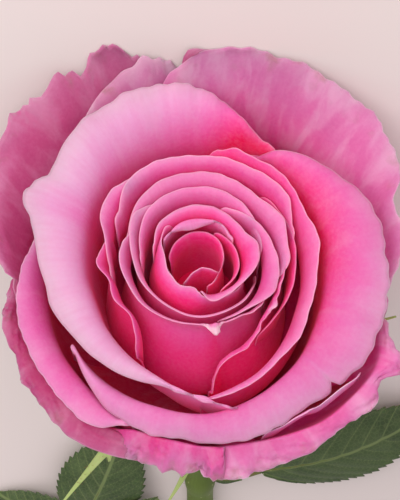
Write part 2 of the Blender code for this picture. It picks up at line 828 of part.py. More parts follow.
def main():
    for obj in list(bpy.data.objects):
        bpy.data.objects.remove(obj)
    rose = add_object("rose", None)
    rose.location = Vector(ROSE_AT) * MM
    bloom = add_object("bloom_axis", None)
    bloom.parent = rose
    laid = bloom_to_table()
    bloom.matrix_basis = Matrix.Translation(laid.translation * MM) @ laid.to_3x3().to_4x4()
    inner = material("inner_petal", PINK, 0.6)
    outer = material("outer_petal", PALE_PINK, 0.6)
    sepal = material("calyx", SEPAL_GREEN, 0.55)
    for obj in [build_heart(inner), *build_outer_petals(outer), build_calyx(sepal)]:
        obj.parent = bloom
    leaf_colour = material("leaf", LEAF_GREEN, 0.45)
    greens = [build_leaf(name, leaf, leaf_colour) for name, leaf in LEAVES.items()]
    for obj in [build_stem(material("stem", STEM_GREEN, 0.5)), *greens]:
        obj.parent = rose


main()
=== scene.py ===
# The looks of an open pink rose that lies on a table: thin rolled petals, calyx, prickly stem and leaves.
#
# The bloom is laid out in its own upright frame, in millimetres: its axis is +Z and a bearing is an angle
# about it, counted from +X towards +Y. It then lies down with its +Y side on the table.

import math

import bmesh
import bpy
import numpy as np
from mathutils import Matrix, Vector


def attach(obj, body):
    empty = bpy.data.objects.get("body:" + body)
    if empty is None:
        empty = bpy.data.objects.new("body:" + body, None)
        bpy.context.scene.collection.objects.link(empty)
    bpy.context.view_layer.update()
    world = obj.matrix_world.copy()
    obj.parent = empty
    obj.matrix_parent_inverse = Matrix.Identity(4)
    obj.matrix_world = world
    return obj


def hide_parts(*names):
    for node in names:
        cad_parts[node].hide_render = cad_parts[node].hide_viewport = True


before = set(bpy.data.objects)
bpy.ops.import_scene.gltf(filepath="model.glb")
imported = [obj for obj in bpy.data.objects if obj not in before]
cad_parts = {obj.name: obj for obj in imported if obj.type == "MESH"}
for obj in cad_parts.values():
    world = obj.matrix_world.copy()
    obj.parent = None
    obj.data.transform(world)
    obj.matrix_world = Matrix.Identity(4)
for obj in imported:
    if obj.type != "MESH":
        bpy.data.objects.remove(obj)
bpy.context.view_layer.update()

MM = 0.001

# How the rose lies
TILT = math.radians(25.0)  # the bloom's axis above the table
HEART_HEIGHT = 46.0  # receptacle's top to the heart's rim
HEART_ABOVE_TABLE = 51.95
HEART_FORWARD = 83.0  # from the heart's rim back to the rose's own zero
ROSE_AT = Vector((4.5, -8.5, 0.0))  # puts the origin under the middle of the whole rose
REST_HEIGHT = 0.4  # of a resting petal's middle surface

# Petals
BOWL_DEPTH = 28.0  # height over which a petal turns from level to upright
BOWL_SHARE = 0.6  # of the way up the wall, where the bowl ends
CLAW_RADIUS = 8.4  # where an outer petal's claw meets the receptacle
CLAW_ANGLE = 34.0
CLAW_SHARE = 0.3  # of the way up the wall, where the claw has spread to full width
CORE_ROOT = 11.4  # inner petals start this far out, inside the core
CORE_STAND = 19.0  # and the innermost ones at this height
END_FALL = 11.0  # how far the rim falls as it rounds off at a petal's end
PETAL_THICK = 0.40
RIM_THICK = 0.16
RIM_ROWS = 6  # over which it thins
TIP_DRY = 1.8  # how far from the rim a crumpled tip has dried
WALL_ROWS = 22
LIP_ROWS = 14
END_COLUMNS = 6

# What every petal of a kind has, where its own entry doesn't say otherwise
HEART_PETAL = dict(step=1.7, wave=0.25, frill=0.06, uneven=0.02, curl=0.3, fade=16.0, slope=0.16)
CUP_PETAL = dict(step=1.1, wave=0.5, frill=0.12, uneven=0.015, curl=0.8, fade=34.0, slope=0.05)
GUARD_PETAL = dict(step=1.1, wave=0.9, frill=0.5, uneven=0.03, curl=0.8, fade=46.0, slope=0.0, fall=0.0)
TIP_PETALS = {"cup_petal_tip": "guard_petal_front_right", "guard_petal_tip": "guard_petal_back"}
# guard petals that lie away from the light, drawn darker in painted shade
SHADED_GUARD_PETALS = ("guard_petal_left", "guard_petal_low", "guard_petal_tip")

# Petal colours, from the rim to the root. Their deepening towards the root is painted shade and painted red
# bounce light from deep in the bloom.
INNER_STOPS = [(0.0, "#F08CC0"), (0.12, "#F47CB8"), (0.3, "#F858A4"), (0.6, "#FA2E82"), (1.0, "#F81C76")]
OUTER_STOPS = [
    (0.0, "#EEAAD2"), (0.18, "#EE98CA"), (0.4, "#EE78B6"), (0.62, "#F25AA4"), (0.85, "#F43C86"),
    (1.0, "#EE1258"),
]
GUARD_STOPS = [(0.0, "#D472A4"), (0.3, "#DC68A4"), (0.55, "#EC5298"), (0.8, "#EE3C8C"), (1.0, "#F02C7C")]
# darker copies of the guard colours, as painted shade
SHADED_GUARD_STOPS = [(0.0, "#C15F8B"), (0.3, "#B5497A"), (0.55, "#AC3A6E"), (0.8, "#A82C60"), (1.0, "#A02050")]

# Receptacle and hip, as (radius, height) up from the stem and down from the petals
CORE = [(8.0, -10.6), (8.0, -0.6), (12.0, 1.4), (12.6, 4.0), (12.6, 20.5), (10.0, 23.0), (3.0, 24.0)]
HIP = [(7.6, -10.9), (8.8, -12.4), (8.2, -16.0), (7.9, -19.0), (6.6, -23.0), (4.9, -26.5), (4.5, -27.4)]

# Sepals
SEPAL_ROOT = (6.5, -12.6)  # radius and height
SEPAL_THICK = 0.55
SEPAL_LOBES = [(0.30, 2.2), (0.40, 3.2), (0.52, 2.6), (0.62, 1.8)]  # share of the way out, and reach

# Stem
STEM_RADIUS = 4.2
STEM_TOP = -27.9
STEM_STRAIGHT = 72.0  # the length that lies on the table
STEM_SIDES = 40
STEM_SINK = 1.6  # how far its top reaches up into the hip
STEM_STEP = 1.5
NODE_SWELL = 0.7
NODE_LENGTH = 3.2
BARK_THICK = 0.25
# Prickles: distance down the stem and bearing round it, from straight up
PRICKLES = [(13, 40), (27, -75), (41, 80), (54, -20), (84, -60), (97, 60), (110, 10), (134, -70)]

# Leaves
PETIOLE_RADIUS = 1.1
TOOTH_PITCH = 2.6
TOOTH_ROWS = 6  # rows of points for each tooth
HALF_COLUMNS = 16  # columns of points on each side of the rib
BLADE_THICK = 0.32
VEIN_PAIRS = 7
RIB_RADII = (0.62, 0.1)  # from the leaflet's foot to its tip
VEIN_RADII = (0.26, 0.08)
STALK_SINK = 0.6  # how far a stalk's foot reaches into the stem
STIPULE_LENGTH = 9.0
STIPULE_THICK = 0.3
FAR_FROM_VEINS = 3.0  # what a leafy part with no side veins gives as its distance from one

# Greens, as colour ramps
SEPAL_INSIDE = [(0.3, "#A9BC78"), (0.7, "#8FA75C")]
SEPAL_OUTSIDE = [(0.3, "#6E8A3C"), (0.7, "#86A04E")]
STEM_STOPS = [(0.3, "#56682A"), (0.55, "#627632"), (0.75, "#6E6C38")]
CUT_STOPS = [(0.0, "#E3E2BE"), (0.45, "#D5D79F"), (0.6, "#B9C481"), (0.85, "#A3B26A"), (1.0, "#6B7A3C")]
PRICKLE_STOPS = [(0.0, "#8A9A4A"), (0.3, "#A0683E"), (0.75, "#8E4A34"), (1.0, "#D0A878")]
GLAND_STOPS = [(0.0, "#8C5A3A"), (1.0, "#A8704A")]
LEAF_TOP = [(0.3, "#37492A"), (0.7, "#4A5C37")]
LEAF_UNDER = [(0.3, "#6E7F58"), (0.7, "#7F8F68")]
CORE_STOPS = [(0.0, "#7F9A48"), (0.2, "#A8AE62"), (0.34, "#D88A92"), (0.5, "#E8306E"), (1.0, "#F01868")]

# Camera and lights, in metres
CAMERA_DOWN = math.radians(50)
CAMERA_BACK = 0.45
SENSOR = 36.0
LENS = 129.6
SHIFT_UP = 0.016
FLOOR_REACH = 3.0
# Soft boxes: way from the heart, distance, size, watts and colour
LIGHTS = {
    "key": ((0.7, -1.0, 0.75), 0.9, 0.55, 3.35, "#FFF8F4"),
    "fill": ((0.05, -0.66, 0.75), 1.0, 0.7, 4.05, "#FFF6F8"),
}
SKY = ("#FBF6F6", 0.6)

# Each petal is laid out by a row of stations along its rim, from its clockwise end round to the other.
# A station is: bearing in degrees, radius and height where the wall ends, radius and height of the rim.
# "belly" is how far the wall swells between root and rim, "slope" how much it narrows towards the root, and
# "crown" how high the lip arches before it turns down to the rim. The petal goes on past its end stations by
# "ends" degrees. "fade" is the distance from the rim over which its colour deepens, in painted shade and
# painted bounce light, and "deep" what is added to that: more painted shade where the petal lies under
# others, and paler, as painted light, where it is negative. A nick is a bearing, its width in degrees and its
# depth. Where the depth is negative, the rim stands out there instead, crumpled and dried.
HEART_PETALS = {
    "tongue": dict(
        belly=0.0, fade=3.5, wave=0.0, frill=0.0, uneven=0.0, ends=(3, 4),
        stations=[
            (228, 6, 36, 6, 41), (232, 3.6, 38, 3.6, 42.8), (248, 2.1, 39, 2.1, 43.3),
            (278, 1.4, 39, 1.4, 43.4), (308, 1.6, 39, 1.6, 43.3), (332, 2.8, 38, 2.9, 42.8),
            (340, 4.6, 37, 4.8, 41.4),
        ],
    ),
    "inner_ring": dict(
        belly=0.6, fade=3.2, deep=0.45,
        stations=[
            (-62, 5.6, 38, 5.9, 42), (-25, 5.2, 39, 5.2, 43), (20, 5.6, 40, 6.3, 43.8),
            (60, 6.6, 40, 7.8, 44), (105, 7, 40, 8.4, 44), (165, 7, 38, 8, 43),
        ],
    ),
    "curl": dict(
        belly=0.6, fade=3.6, deep=0.5,
        stations=[
            (-44, 8.4, 38, 8.8, 42.6), (-20, 8.6, 39, 9.7, 44), (20, 8.7, 40, 9.6, 44.2),
            (58, 8.6, 39, 9.2, 44),
        ],
    ),
    "inner_lip": dict(
        belly=0.4, fade=13.0, crown=1.8,
        stations=[
            (44, 10, 42, 10.2, 44.6), (66, 10.8, 44, 11.4, 45.6), (78, 10.8, 45, 9.9, 45.8),
            (100, 11, 45.5, 8.6, 45.4), (122, 11, 45, 9.4, 45.2), (140, 10.6, 43, 10.8, 44.4),
        ],
    ),
    "front": dict(
        belly=1.4, fade=8.0, ends=(10, 5), deep=0.1,
        stations=[
            (134, 12, 40, 12.4, 45.6), (152, 11.8, 40, 10.6, 46), (174, 11.6, 39, 8.5, 45.8),
            (206, 11.4, 39, 8.3, 45.5), (232, 11.2, 38, 8.3, 45), (258, 11, 38, 7.5, 45),
            (272, 10.4, 38, 9, 44.4), (286, 10.2, 37, 10.3, 42.8), (306, 10.6, 37, 10.7, 43),
            (322, 11.1, 36, 11.1, 42.4), (338, 11.4, 35, 11.4, 40.4),
        ],
    ),
    "back": dict(
        belly=0.8, fade=9.0, ends=(5, 10), deep=[(-86, 0.0), (30, 0.12), (157, 0.0)],
        stations=[
            (-86, 6.8, 38, 8.6, 44.6), (-75, 7.2, 38, 10.9, 44.2), (-54, 8.6, 39, 11.5, 44.8),
            (-24, 10.2, 40, 12.6, 45.4), (-5, 10.3, 40, 14.3, 45.4), (14, 10.6, 41, 15.1, 45.8),
            (32, 10.9, 42, 13.4, 46), (57, 11.6, 42, 14, 46), (80, 12.6, 42, 14.8, 46.2),
            (116, 12.6, 42, 14.6, 46.2), (137, 12.4, 41, 14.2, 46), (157, 12, 40, 12.4, 45),
        ],
    ),
    "second_inner": dict(
        belly=1.0, fade=22.0, deep=0.1,
        stations=[
            (18, 14.8, 40, 16.2, 44.6), (58, 16.6, 42, 18.8, 46.6), (95, 17, 42, 19.6, 47.2),
            (132, 16.4, 42, 18.8, 47), (152, 15.4, 41, 17, 46.4), (172, 14.4, 39, 15.2, 45),
        ],
    ),
    "second_left": dict(
        belly=2.0, fade=18.0,
        stations=[
            (126, 17.2, 40, 19.2, 46), (146, 17, 41, 20.4, 47.2), (164, 16, 41, 18.3, 47),
            (182, 14.9, 40, 16.7, 46.2), (205, 14, 39, 15.8, 45.4), (232, 13.4, 38, 14.9, 44.8),
            (262, 13.2, 38, 14.7, 44), (304, 13.2, 37, 14.8, 43), (322, 13.4, 36, 14.8, 42.4),
            (338, 13.6, 34, 14.6, 40.8), (352, 13.8, 31, 14.4, 36.4),
        ],
    ),
    "second_right": dict(
        belly=1.6, fade=17.0, deep=0.1,
        stations=[
            (-64, 14.8, 37, 16.2, 42.8), (-44, 15.4, 38, 17.8, 44.2), (-24, 15.8, 40, 20.2, 44.8),
            (-6, 15.8, 41, 19.8, 45.6), (14, 15.8, 41, 18.6, 46.4), (38, 15.4, 41, 17.2, 46.4),
            (62, 14.8, 40, 16, 45.6),
        ],
    ),
    "second_back": dict(
        belly=1.4, fade=24.0, deep=0.08,
        stations=[
            (-16, 17.6, 38, 19.2, 43.6), (-3, 18.8, 40, 22.2, 45.6), (13, 19.2, 41, 22.4, 46.8),
            (27, 19.6, 42, 23.4, 47.2), (50, 19.4, 42, 22, 48), (80, 19.6, 42, 23.2, 48.2),
            (110, 19.6, 42, 23.1, 48.2), (136, 19.2, 42, 21.8, 47.8), (158, 18.4, 40, 19.4, 46),
        ],
    ),
    "third_front": dict(
        belly=0.6, cone=[(156, 2.5), (200, 5.5), (235, 9.0), (268, 10.0), (298, 8.0), (324, 4.0)],
        bowl=15.0, fade=30.0, ends=(7, 10), nicks=[(281, 6.0, -1.3)], deep=[(156, 0.08), (324, 0.08)],
        stations=[
            (156, 17.6, 39, 18.6, 46.6), (178, 17.6, 39, 20.2, 47), (200, 16.8, 38, 19.1, 46),
            (216, 16.4, 37, 18.5, 45), (237, 15.8, 37, 17.4, 44), (256, 15.6, 37, 16.9, 43.4),
            (276, 15.8, 37, 17, 43), (304, 16, 36, 17.4, 43), (322, 17.2, 36, 19.5, 43.6),
        ],
    ),
    "third_right": dict(
        belly=1.0, cone=[(-84, 3.0), (-73, 6.0), (-50, 6.5), (-26, 4.0), (16, 1.0)], bowl=15.0, fade=22.0,
        ends=(1.5, 10), crumple=0.3, nicks=[(-34, 4.0, -0.5)], deep=0.32,
        stations=[
            (-84, 27, 20, 29.6, 29), (-83, 26.2, 24, 29, 33), (-79, 23.6, 29, 26.2, 37),
            (-73, 22.6, 33, 24.7, 38.5), (-62, 22, 34, 24.4, 40), (-52, 21.4, 35, 23.1, 41),
            (-41, 20.2, 36, 21.4, 42.5), (-26, 19.8, 37, 21.6, 44), (-8, 20.2, 38, 21.4, 45.2),
            (16, 20.4, 38, 21.8, 45.6),
        ],
    ),
    "fourth_inner": dict(
        belly=0.5, fade=14.0, deep=0.4,
        stations=[
            (-42, 22.4, 34, 23.2, 39.6), (-14, 22.4, 36, 23.8, 43), (12, 22.6, 37, 24.2, 44.8),
            (42, 22.8, 38, 24.2, 46),
        ],
    ),
    "fourth_back": dict(
        belly=1.8, fade=13.0, deep=[(22, 0.12), (90, 0.06), (147, 0.0)],
        stations=[
            (22, 23, 38, 25, 46.2), (36, 24, 41, 27.4, 49), (64, 24.2, 42, 26.9, 50),
            (98, 24.4, 42, 27.2, 50), (120, 24.4, 42, 28, 49.4), (134, 23.8, 41, 27.2, 48.4),
            (147, 22.6, 39, 24.4, 46),
        ],
    ),
    "fourth_left": dict(
        belly=1.6, fade=13.0, deep=[(114, 0.06), (182, 0.0)],
        stations=[
            (114, 25.8, 39, 28.6, 47.4), (130, 25.2, 41, 27.8, 48.2), (142, 25, 41, 28.9, 48),
            (155, 24.2, 41, 27.8, 47), (166, 23.2, 40, 24.8, 46.2), (182, 21.8, 37, 22.8, 43),
        ],
    ),
    "fourth_front_left": dict(
        belly=0.8, cone=[(170, 1.0), (196, 4.0), (226, 5.0), (234, 1.5)], bowl=15.0, fade=20.0,
        ends=(8, 1.5), deep=0.3,
        stations=[
            (170, 22.6, 36, 24.6, 44.4), (181, 22.8, 37, 26, 44.4), (192, 21.6, 37, 23.4, 44),
            (204, 21.2, 36, 23.7, 43.2), (217, 20.6, 35, 22.2, 42), (226, 21.4, 33, 23.2, 41),
            (232, 23.6, 27, 26, 38), (234, 25, 22, 27.2, 34),
        ],
    ),
    "fourth_right": dict(
        belly=1.0, fade=24.0, ends=(1.5, 10), deep=[(-94, 0.15), (0, 0.1), (30, 0.3), (79, 0.4)],
        cone=[(-94, 1.0), (-56, 2.0), (-23, 3.0), (25, 3.0), (79, 2.0)],
        stations=[
            (-88, 33.2, 31, 34.8, 38.8), (-84, 33, 34, 35.2, 40.2), (-71, 31.4, 35, 34.2, 41),
            (-56, 29.6, 35, 32.4, 42), (-39, 27.4, 35, 31.7, 43.2), (-23, 26, 35, 29.9, 44.8),
            (-7, 25.6, 36, 29.3, 46.5), (9, 25.4, 37, 30.1, 48), (25, 25.6, 38, 28.8, 49),
            (44, 26.4, 39, 30.1, 49.4), (60, 27, 39, 30, 49.8), (72, 27.2, 38, 30.5, 50),
            (79, 27.2, 37, 30, 48),
        ],
    ),
}

OUTER_PETALS = {
    "cup_petal_left": dict(
        claw=176, seat=-2.8, crown=[(64, 4.0), (198, 4.0), (230, 3.2), (250, 2.0), (273, 0.6), (282, 0.3)],
        ends=(10, 2.5), slope=0.16,
        deep=[
            (64, 0.95), (74, 0.75), (82, 0.5), (90, 0.2), (101, 0.04), (129, -0.04), (220, -0.02),
            (262, 0.2), (282, 0.4),
        ],
        stations=[
            (64, 34.6, 34, 36.8, 47), (72, 34.8, 38, 38, 50.4), (82, 34.8, 40, 42.5, 52),
            (101, 34.6, 41, 47.4, 53), (129, 33.4, 42, 47.2, 51), (147, 31.8, 42, 45, 48),
            (157, 30.6, 42, 48, 46), (169, 29.4, 41, 42.5, 45), (184, 28.6, 40, 39.6, 44),
            (198, 27.8, 39, 38.2, 42), (212, 28.2, 38.5, 36.2, 41), (230, 28.8, 37, 34.7, 40),
            (250, 30.4, 37, 32.8, 39.8), (262, 32.8, 38, 33.8, 40.4), (273, 35.2, 38, 35.7, 40.6),
            (282, 37.5, 36, 38, 39.8),
        ],
    ),
    "cup_petal_right": dict(
        claw=318, seat=-4.0, crown=3.0, ends=(5, 10), nicks=[(-43.5, 0.8, 0.12)], fade=26.0, slope=0.16,
        deep=[(-144, 0.3), (-100, 0.26), (-40, 0.22), (-10, 0.24), (8, 0.34), (30, 0.5), (63, 0.6)],
        stations=[
            (-144, 37.2, 33, 38, 37.4), (-132, 37.2, 34, 40.8, 37), (-122, 37.2, 35, 42.9, 36.4),
            (-108, 37.4, 36, 43.8, 35.4), (-97, 37.6, 36, 43.4, 35), (-84, 37.4, 36, 44.8, 34.6),
            (-70, 36.4, 37, 45, 35.6), (-57, 35.4, 38, 44.4, 37.4), (-45, 34.4, 39, 46, 39),
            (-32, 33, 40, 47.4, 41), (-16, 31.8, 41, 47.8, 44), (-3, 31.2, 41, 46.6, 46),
            (12, 31.2, 42, 46, 47.6), (30, 31.8, 41, 42.4, 49), (44, 32.4, 40, 38.6, 49),
            (55, 32.6, 38, 35.8, 47.6), (63, 32.6, 34, 33.8, 43),
        ],
    ),
    "cup_petal_low": dict(
        claw=216, seat=-4.9, crown=2.0, ends=(10, 3), fade=24.0, deep=[(168, 0.4), (215, 0.42), (244, 0.3)],
        stations=[
            (168, 38.8, 30, 42.4, 40.4), (182, 39.2, 32, 45.4, 40.4), (198, 39.8, 33, 47.4, 38.4),
            (218, 40.4, 33, 47.8, 37.6), (229, 40.8, 33, 48.4, 37), (235, 41.2, 32, 48.4, 36.4),
            (240, 41.6, 31, 46.8, 35.6), (244, 41.6, 29, 43.8, 34.6),
        ],
    ),
    "guard_petal_back": dict(
        claw=108, ends=(6, 10), seat=-6.1, crown=0.0, frill=0.3, crumple=0.25, deep=-0.1,
        stations=[
            (91, 40.2, 27, 53.6, 42.4), (97, 40.4, 28, 56.6, 47), (104, 41, 29, 57.8, 49),
            (113, 42, 30, 56.6, 48.4), (122, 42.4, 30, 53, 47), (134, 41.8, 28, 47, 43),
        ],
    ),
    "guard_petal_right": dict(
        claw=40, seat=-5.4, crown=-1.0, frill=0.22, wave=0.7, crumple=0.1,
        deep=[(-12, 0.1), (50, 0.05), (96, 0.15)], uneven=0.015,
        stations=[
            (-12, 41.6, 25, 45.6, 36), (-3, 42.8, 27, 48.6, 40), (9, 44, 28, 52.2, 41.2),
            (21, 45, 28, 53.4, 42), (28, 46, 28, 58, 42.4), (40, 46.6, 28, 61.4, 44),
            (57, 47, 29, 61.8, 46.4), (70, 44.8, 30, 60.8, 49.4), (82, 39.8, 31, 59.6, 51.2),
            (89, 38.4, 31, 57.4, 50.6), (96, 37.6, 30, 54, 48.6),
        ],
    ),
    "guard_petal_left": dict(
        claw=146, seat=-7.3, crown=-1.0, crumple=0.35, deep=[(90, 0.15), (182, 0.15)], frill=0.3,
        stations=[
            (90, 41.7, 26, 51, 37), (97, 42, 27, 56, 43.6), (104, 42.7, 27, 58, 45.2),
            (110, 43.9, 28, 63.4, 51.6), (116, 44.6, 28, 64.6, 49), (120.5, 45.2, 28, 61.4, 46.4),
            (124.5, 45.8, 28, 65, 47.4), (131, 46.6, 28, 62.6, 46), (140, 47.2, 27, 64.4, 44.4),
            (152, 47.6, 27, 61, 42), (164, 46.4, 27, 56.6, 42), (175, 44.4, 27, 51.6, 40.6),
            (182, 43.2, 26, 47, 38),
        ],
    ),
    "guard_petal_low": dict(
        claw=196, seat=-6.0, crown=1.4, slope=0.12, fade=30.0, crumple=0.7,
        deep=[(184, 0.62), (215, 0.55), (240, 0.35), (254, 0.2)],
        stations=[
            (184, 46.4, 27, 49, 31), (192, 46.6, 28, 51, 33), (205, 46.4, 29, 51.4, 31),
            (220, 46, 29.5, 51.4, 29.4), (234, 45.4, 29.5, 51.4, 28.4), (246, 44.6, 29, 49, 26.4),
            (254, 44, 27, 46.4, 24),
        ],
    ),
    "guard_petal_front": dict(
        claw=262, seat=-6.9, crown=2.6, slope=0.25, fade=14.0, frill=0.8, ends=(8, 1.5),
        crumple=1.1, deep=[(240, 0.6), (248, 0.1), (256, 0.35), (263, -0.05), (276, 0.2)],
        stations=[
            (240, 44.4, 28, 47.4, 24.6), (248, 43.6, 32, 48.4, 26.4), (258, 43.8, 33, 49, 27),
            (266, 44.4, 33, 49.6, 27.6), (272, 45, 33, 50.6, 28), (276, 45.4, 32.6, 52, 28.2),
        ],
    ),
    "guard_petal_front_right": dict(
        claw=316, seat=-6.2, crown=0.6, slope=0.25, fade=22.0, ends=(3, 10), crumple=0.8,
        deep=[(-88, 0.0), (-66, 0.1), (-50, 0.25), (-33, 0.15), (-14, 0.3)],
        stations=[
            (-88, 44.6, 31, 50.6, 27), (-74, 45.4, 32, 51.7, 28), (-67, 46.2, 32, 52.4, 29),
            (-60, 47.4, 32.2, 52.6, 30), (-52, 49, 33, 52.6, 31.4), (-44, 50, 34.8, 53.4, 33.2),
            (-38.4, 50.6, 36.4, 54.9, 35.4), (-33.4, 50.8, 37.4, 53.6, 38), (-29, 50.4, 38, 57.4, 40.6),
            (-23, 48.4, 36, 52.6, 39.4), (-14, 45.6, 32, 47.8, 36),
        ],
    ),
    "cup_petal_tip": dict(
        claw=306, fall=3.0, seat=-5.8, crown=0.2, slope=0.28, fade=11.0, ends=(4, 3), frill=0.2, curl=0.2,
        deep=[(-66, 0.3), (-54, 0.25), (-49, 0.1), (-44, 0.0), (-37, 0.2)],
        stations=[
            (-66, 44.4, 28, 44.7, 33.4), (-60, 44.8, 32, 45.1, 37.6), (-54.5, 45.4, 34, 45.8, 39),
            (-51, 46.2, 33, 46.7, 37.8), (-48, 46.8, 34, 47.3, 39.2), (-42, 47.4, 35, 48, 40.6),
            (-37, 48, 34, 48.6, 39.6),
        ],
    ),
    "guard_petal_tip": dict(
        claw=92, seat=-7.6, crown=-1.0, fade=16.0, ends=(4, 4), deep=[(82, 0.6), (93, 0.6)],
        stations=[
            (82, 44.6, 28, 56.8, 48), (87, 44.4, 28, 58.6, 50.2), (93, 44, 28, 57.2, 49.4),
        ],
    ),
}

# Sepals: bearings of the base and of the tip, radius and height halfway and at the tip, width, side lobes
SEPALS = [
    (10, 7, 32.0, -19.0, 55.0, -7.0, 8.4, True),
    (84, 90, 17.0, -12.0, 22.0, -21.0, 9.0, False),
    (154, 172, 32.0, -18.0, 54.0, -6.0, 8.4, True),
    (230, 226, 32.0, -13.0, 56.0, -31.0, 8.8, True),
    (296, 256, 28.0, -13.0, 40.0, -36.0, 8.0, False),
]

# Leaves: distance of the node down the stem, points (x, y, z) of the stalk after it, and the leaflets as
# (point of the stalk that carries it, heading from -Y towards +X, length, width, height of the tip)
LEAVES = {
    "leaf_upper": dict(
        node=66.0,
        stalk=[(-11, 46, 6.0), (-19, 42, 7.0)],
        leaflets=[(1, -66, 60.0, 27.0, 2.6)],
    ),
    "leaf_lower": dict(
        node=122.0,
        stalk=[(13, 97, 5.0), (24, 86, 5.0), (33, 75, 5.0), (38, 67, 5.0)],
        leaflets=[
            (3, -20, 44.0, 27.0, 2.0),
            (2, 62, 36.0, 22.0, 1.6),
            (2, -44, 28.0, 18.0, 7.0),
            (0, 78, 30.0, 19.0, 1.6),
            (0, 5, 22.0, 14.0, 7.0),
        ],
    ),
}


def smooth(t):
    """Nought to one, level at both ends."""
    t = np.clip(t, 0.0, 1.0)
    return t * t * (3.0 - 2.0 * t)


def along(rows, column, at):
    """A smooth curve through one column of the rows, read at values of column 0."""
    x = np.array([row[0] for row in rows], float)
    y = np.array([row[column] for row in rows], float)
    k = np.arange(len(x))
    before, after = np.maximum(k - 1, 0), np.minimum(k + 1, len(x) - 1)
    slope = (y[after] - y[before]) / (x[after] - x[before])
    i = np.clip(np.searchsorted(x, at, side="right") - 1, 0, len(x) - 2)
    h = x[i + 1] - x[i]
    t = np.clip((at - x[i]) / h, 0.0, 1.0)
    ends = y[i] * (1 + 2 * t) * (1 - t) ** 2 + y[i + 1] * t * t * (3 - 2 * t)
    return ends + h * slope[i] * t * (1 - t) ** 2 - h * slope[i + 1] * t * t * (1 - t)


def hump(at, middle, width):
    """A smooth hump, one high, about a middle."""
    return np.exp(-(((at - middle) / width) ** 2))


def by_bearing(value, bearings):
    """A petal's value as it is, or read at each bearing from a curve through (bearing, value) pairs."""
    return along(value, 1, bearings)[:, None] if isinstance(value, list) else value


def curve(a, b, c, t):
    """Points on the quadratic curve from a to c that bends towards b."""
    return a * (1 - t) ** 2 + b * 2 * t * (1 - t) + c * t * t


def ripple(at, lengths, rng):
    """Irregular waves, about one high, along a distance in millimetres."""
    total = np.zeros_like(at)
    for length in lengths:
        total += np.sin(2 * np.pi * at / (length * rng.uniform(0.85, 1.15)) + rng.uniform(0, 2 * np.pi))
    return total / math.sqrt(len(lengths))


def petal_columns(petal):
    """Bearings across a petal, and how far round a rounded end each one is, from nought to one."""
    first, last = petal["stations"][0][0], petal["stations"][-1][0]
    start, finish = petal.get("ends", (10.0, 10.0))
    turn = np.sin(np.linspace(1.0, 0.0, END_COLUMNS + 1)[:-1] * np.pi / 2)
    middle = np.linspace(first, last, 1 + math.ceil((last - first) / petal["step"]))
    bearings = np.concatenate([first - start * turn, middle, last + finish * turn[::-1]])
    return bearings, np.concatenate([turn, np.zeros_like(middle), turn[::-1]])


def petal_profiles(petal, bearings, ends, reach):
    """Radius and height of every point, a row for each bearing, from the root up the wall to the rim.

    Ends is how far round a rounded end each bearing is, and reach how far out the lip goes there."""
    wall, top, rim, rim_top = (along(petal["stations"], k, bearings)[:, None] for k in (1, 2, 3, 4))
    inner = "claw" not in petal
    # where the petal starts; an inner one starts a little lower the wider it is
    floor = petal.get("seat", 1.5 - 0.1 * (wall - 12.0))
    depth = np.minimum(petal.get("bowl", BOWL_DEPTH), 0.72 * (top - floor))
    rounding = 1 - np.sqrt(1 - ends[:, None] ** 2)
    drop = np.minimum(petal.get("fall", END_FALL), 0.8 * (top - floor - depth))
    drop = drop * np.maximum(0.0, 2 * rounding - 1)
    top, rim_top = top - drop, rim_top - drop
    # the wall: a bowl that turns from level to upright, swollen by "belly" and "cone"
    t = np.linspace(0.0, 1.0, WALL_ROWS + 1)[None, :]
    swell = petal.get("belly", 0.0) * np.sin(np.pi * t**1.2) ** 2
    above = (t - BOWL_SHARE) / (1 - BOWL_SHARE)
    bulge = np.where(above < 0, smooth(t / BOWL_SHARE), 1 - above)
    swell = swell + by_bearing(petal.get("cone", 0.0), bearings) * bulge
    root = CORE_ROOT if inner else CLAW_RADIUS
    start = np.arcsin(np.minimum(1.0, root / wall))
    bend = start + (np.pi / 2 - start) * np.minimum(1.0, t / BOWL_SHARE)
    radius = wall * np.sin(bend) * (1 - petal["slope"] * (1 - t) ** 1.2) + swell
    height = floor + depth * (1 - np.cos(bend))
    height = height + (top - height) * np.clip(above, 0.0, 1.0)
    # the innermost petals have no bowl, and stand on the core
    if inner:
        foot = np.minimum(wall, CORE_ROOT)
        stands = wall < CORE_ROOT + 1.6
        radius = np.where(stands, foot + (wall - foot) * smooth(2 * t) + swell, radius)
        height = np.where(stands, CORE_STAND + (top - CORE_STAND) * t, height)
    # the lip, which rolls outwards and curls down at its very edge
    crown = by_bearing(petal.get("crown", 1.0), bearings)
    share = 1 - (1 - np.linspace(0.0, 1.0, LIP_ROWS + 1)[1:]) ** 1.25
    t = (1 - 0.85 * rounding) * reach[:, None] * share[None, :]
    lip_radius = curve(wall, wall + 0.2 * (rim - wall), rim, t)
    lip_height = curve(top, top + 0.5 * (rim_top - top) + crown, rim_top, t)
    edge = np.clip((share[None, :] - 0.78) / 0.22, 0.0, 1.0) ** 2 * petal["curl"]
    radius = np.concatenate([radius, lip_radius + 0.4 * edge], axis=1)
    height = np.concatenate([height, lip_height - edge], axis=1)
    # an even bend from wall to lip
    for _ in range(3):
        for grid in (radius, height):
            grid[:, 1:-1] = 0.5 * grid[:, 1:-1] + 0.25 * (grid[:, :-2] + grid[:, 2:])
    return radius, height


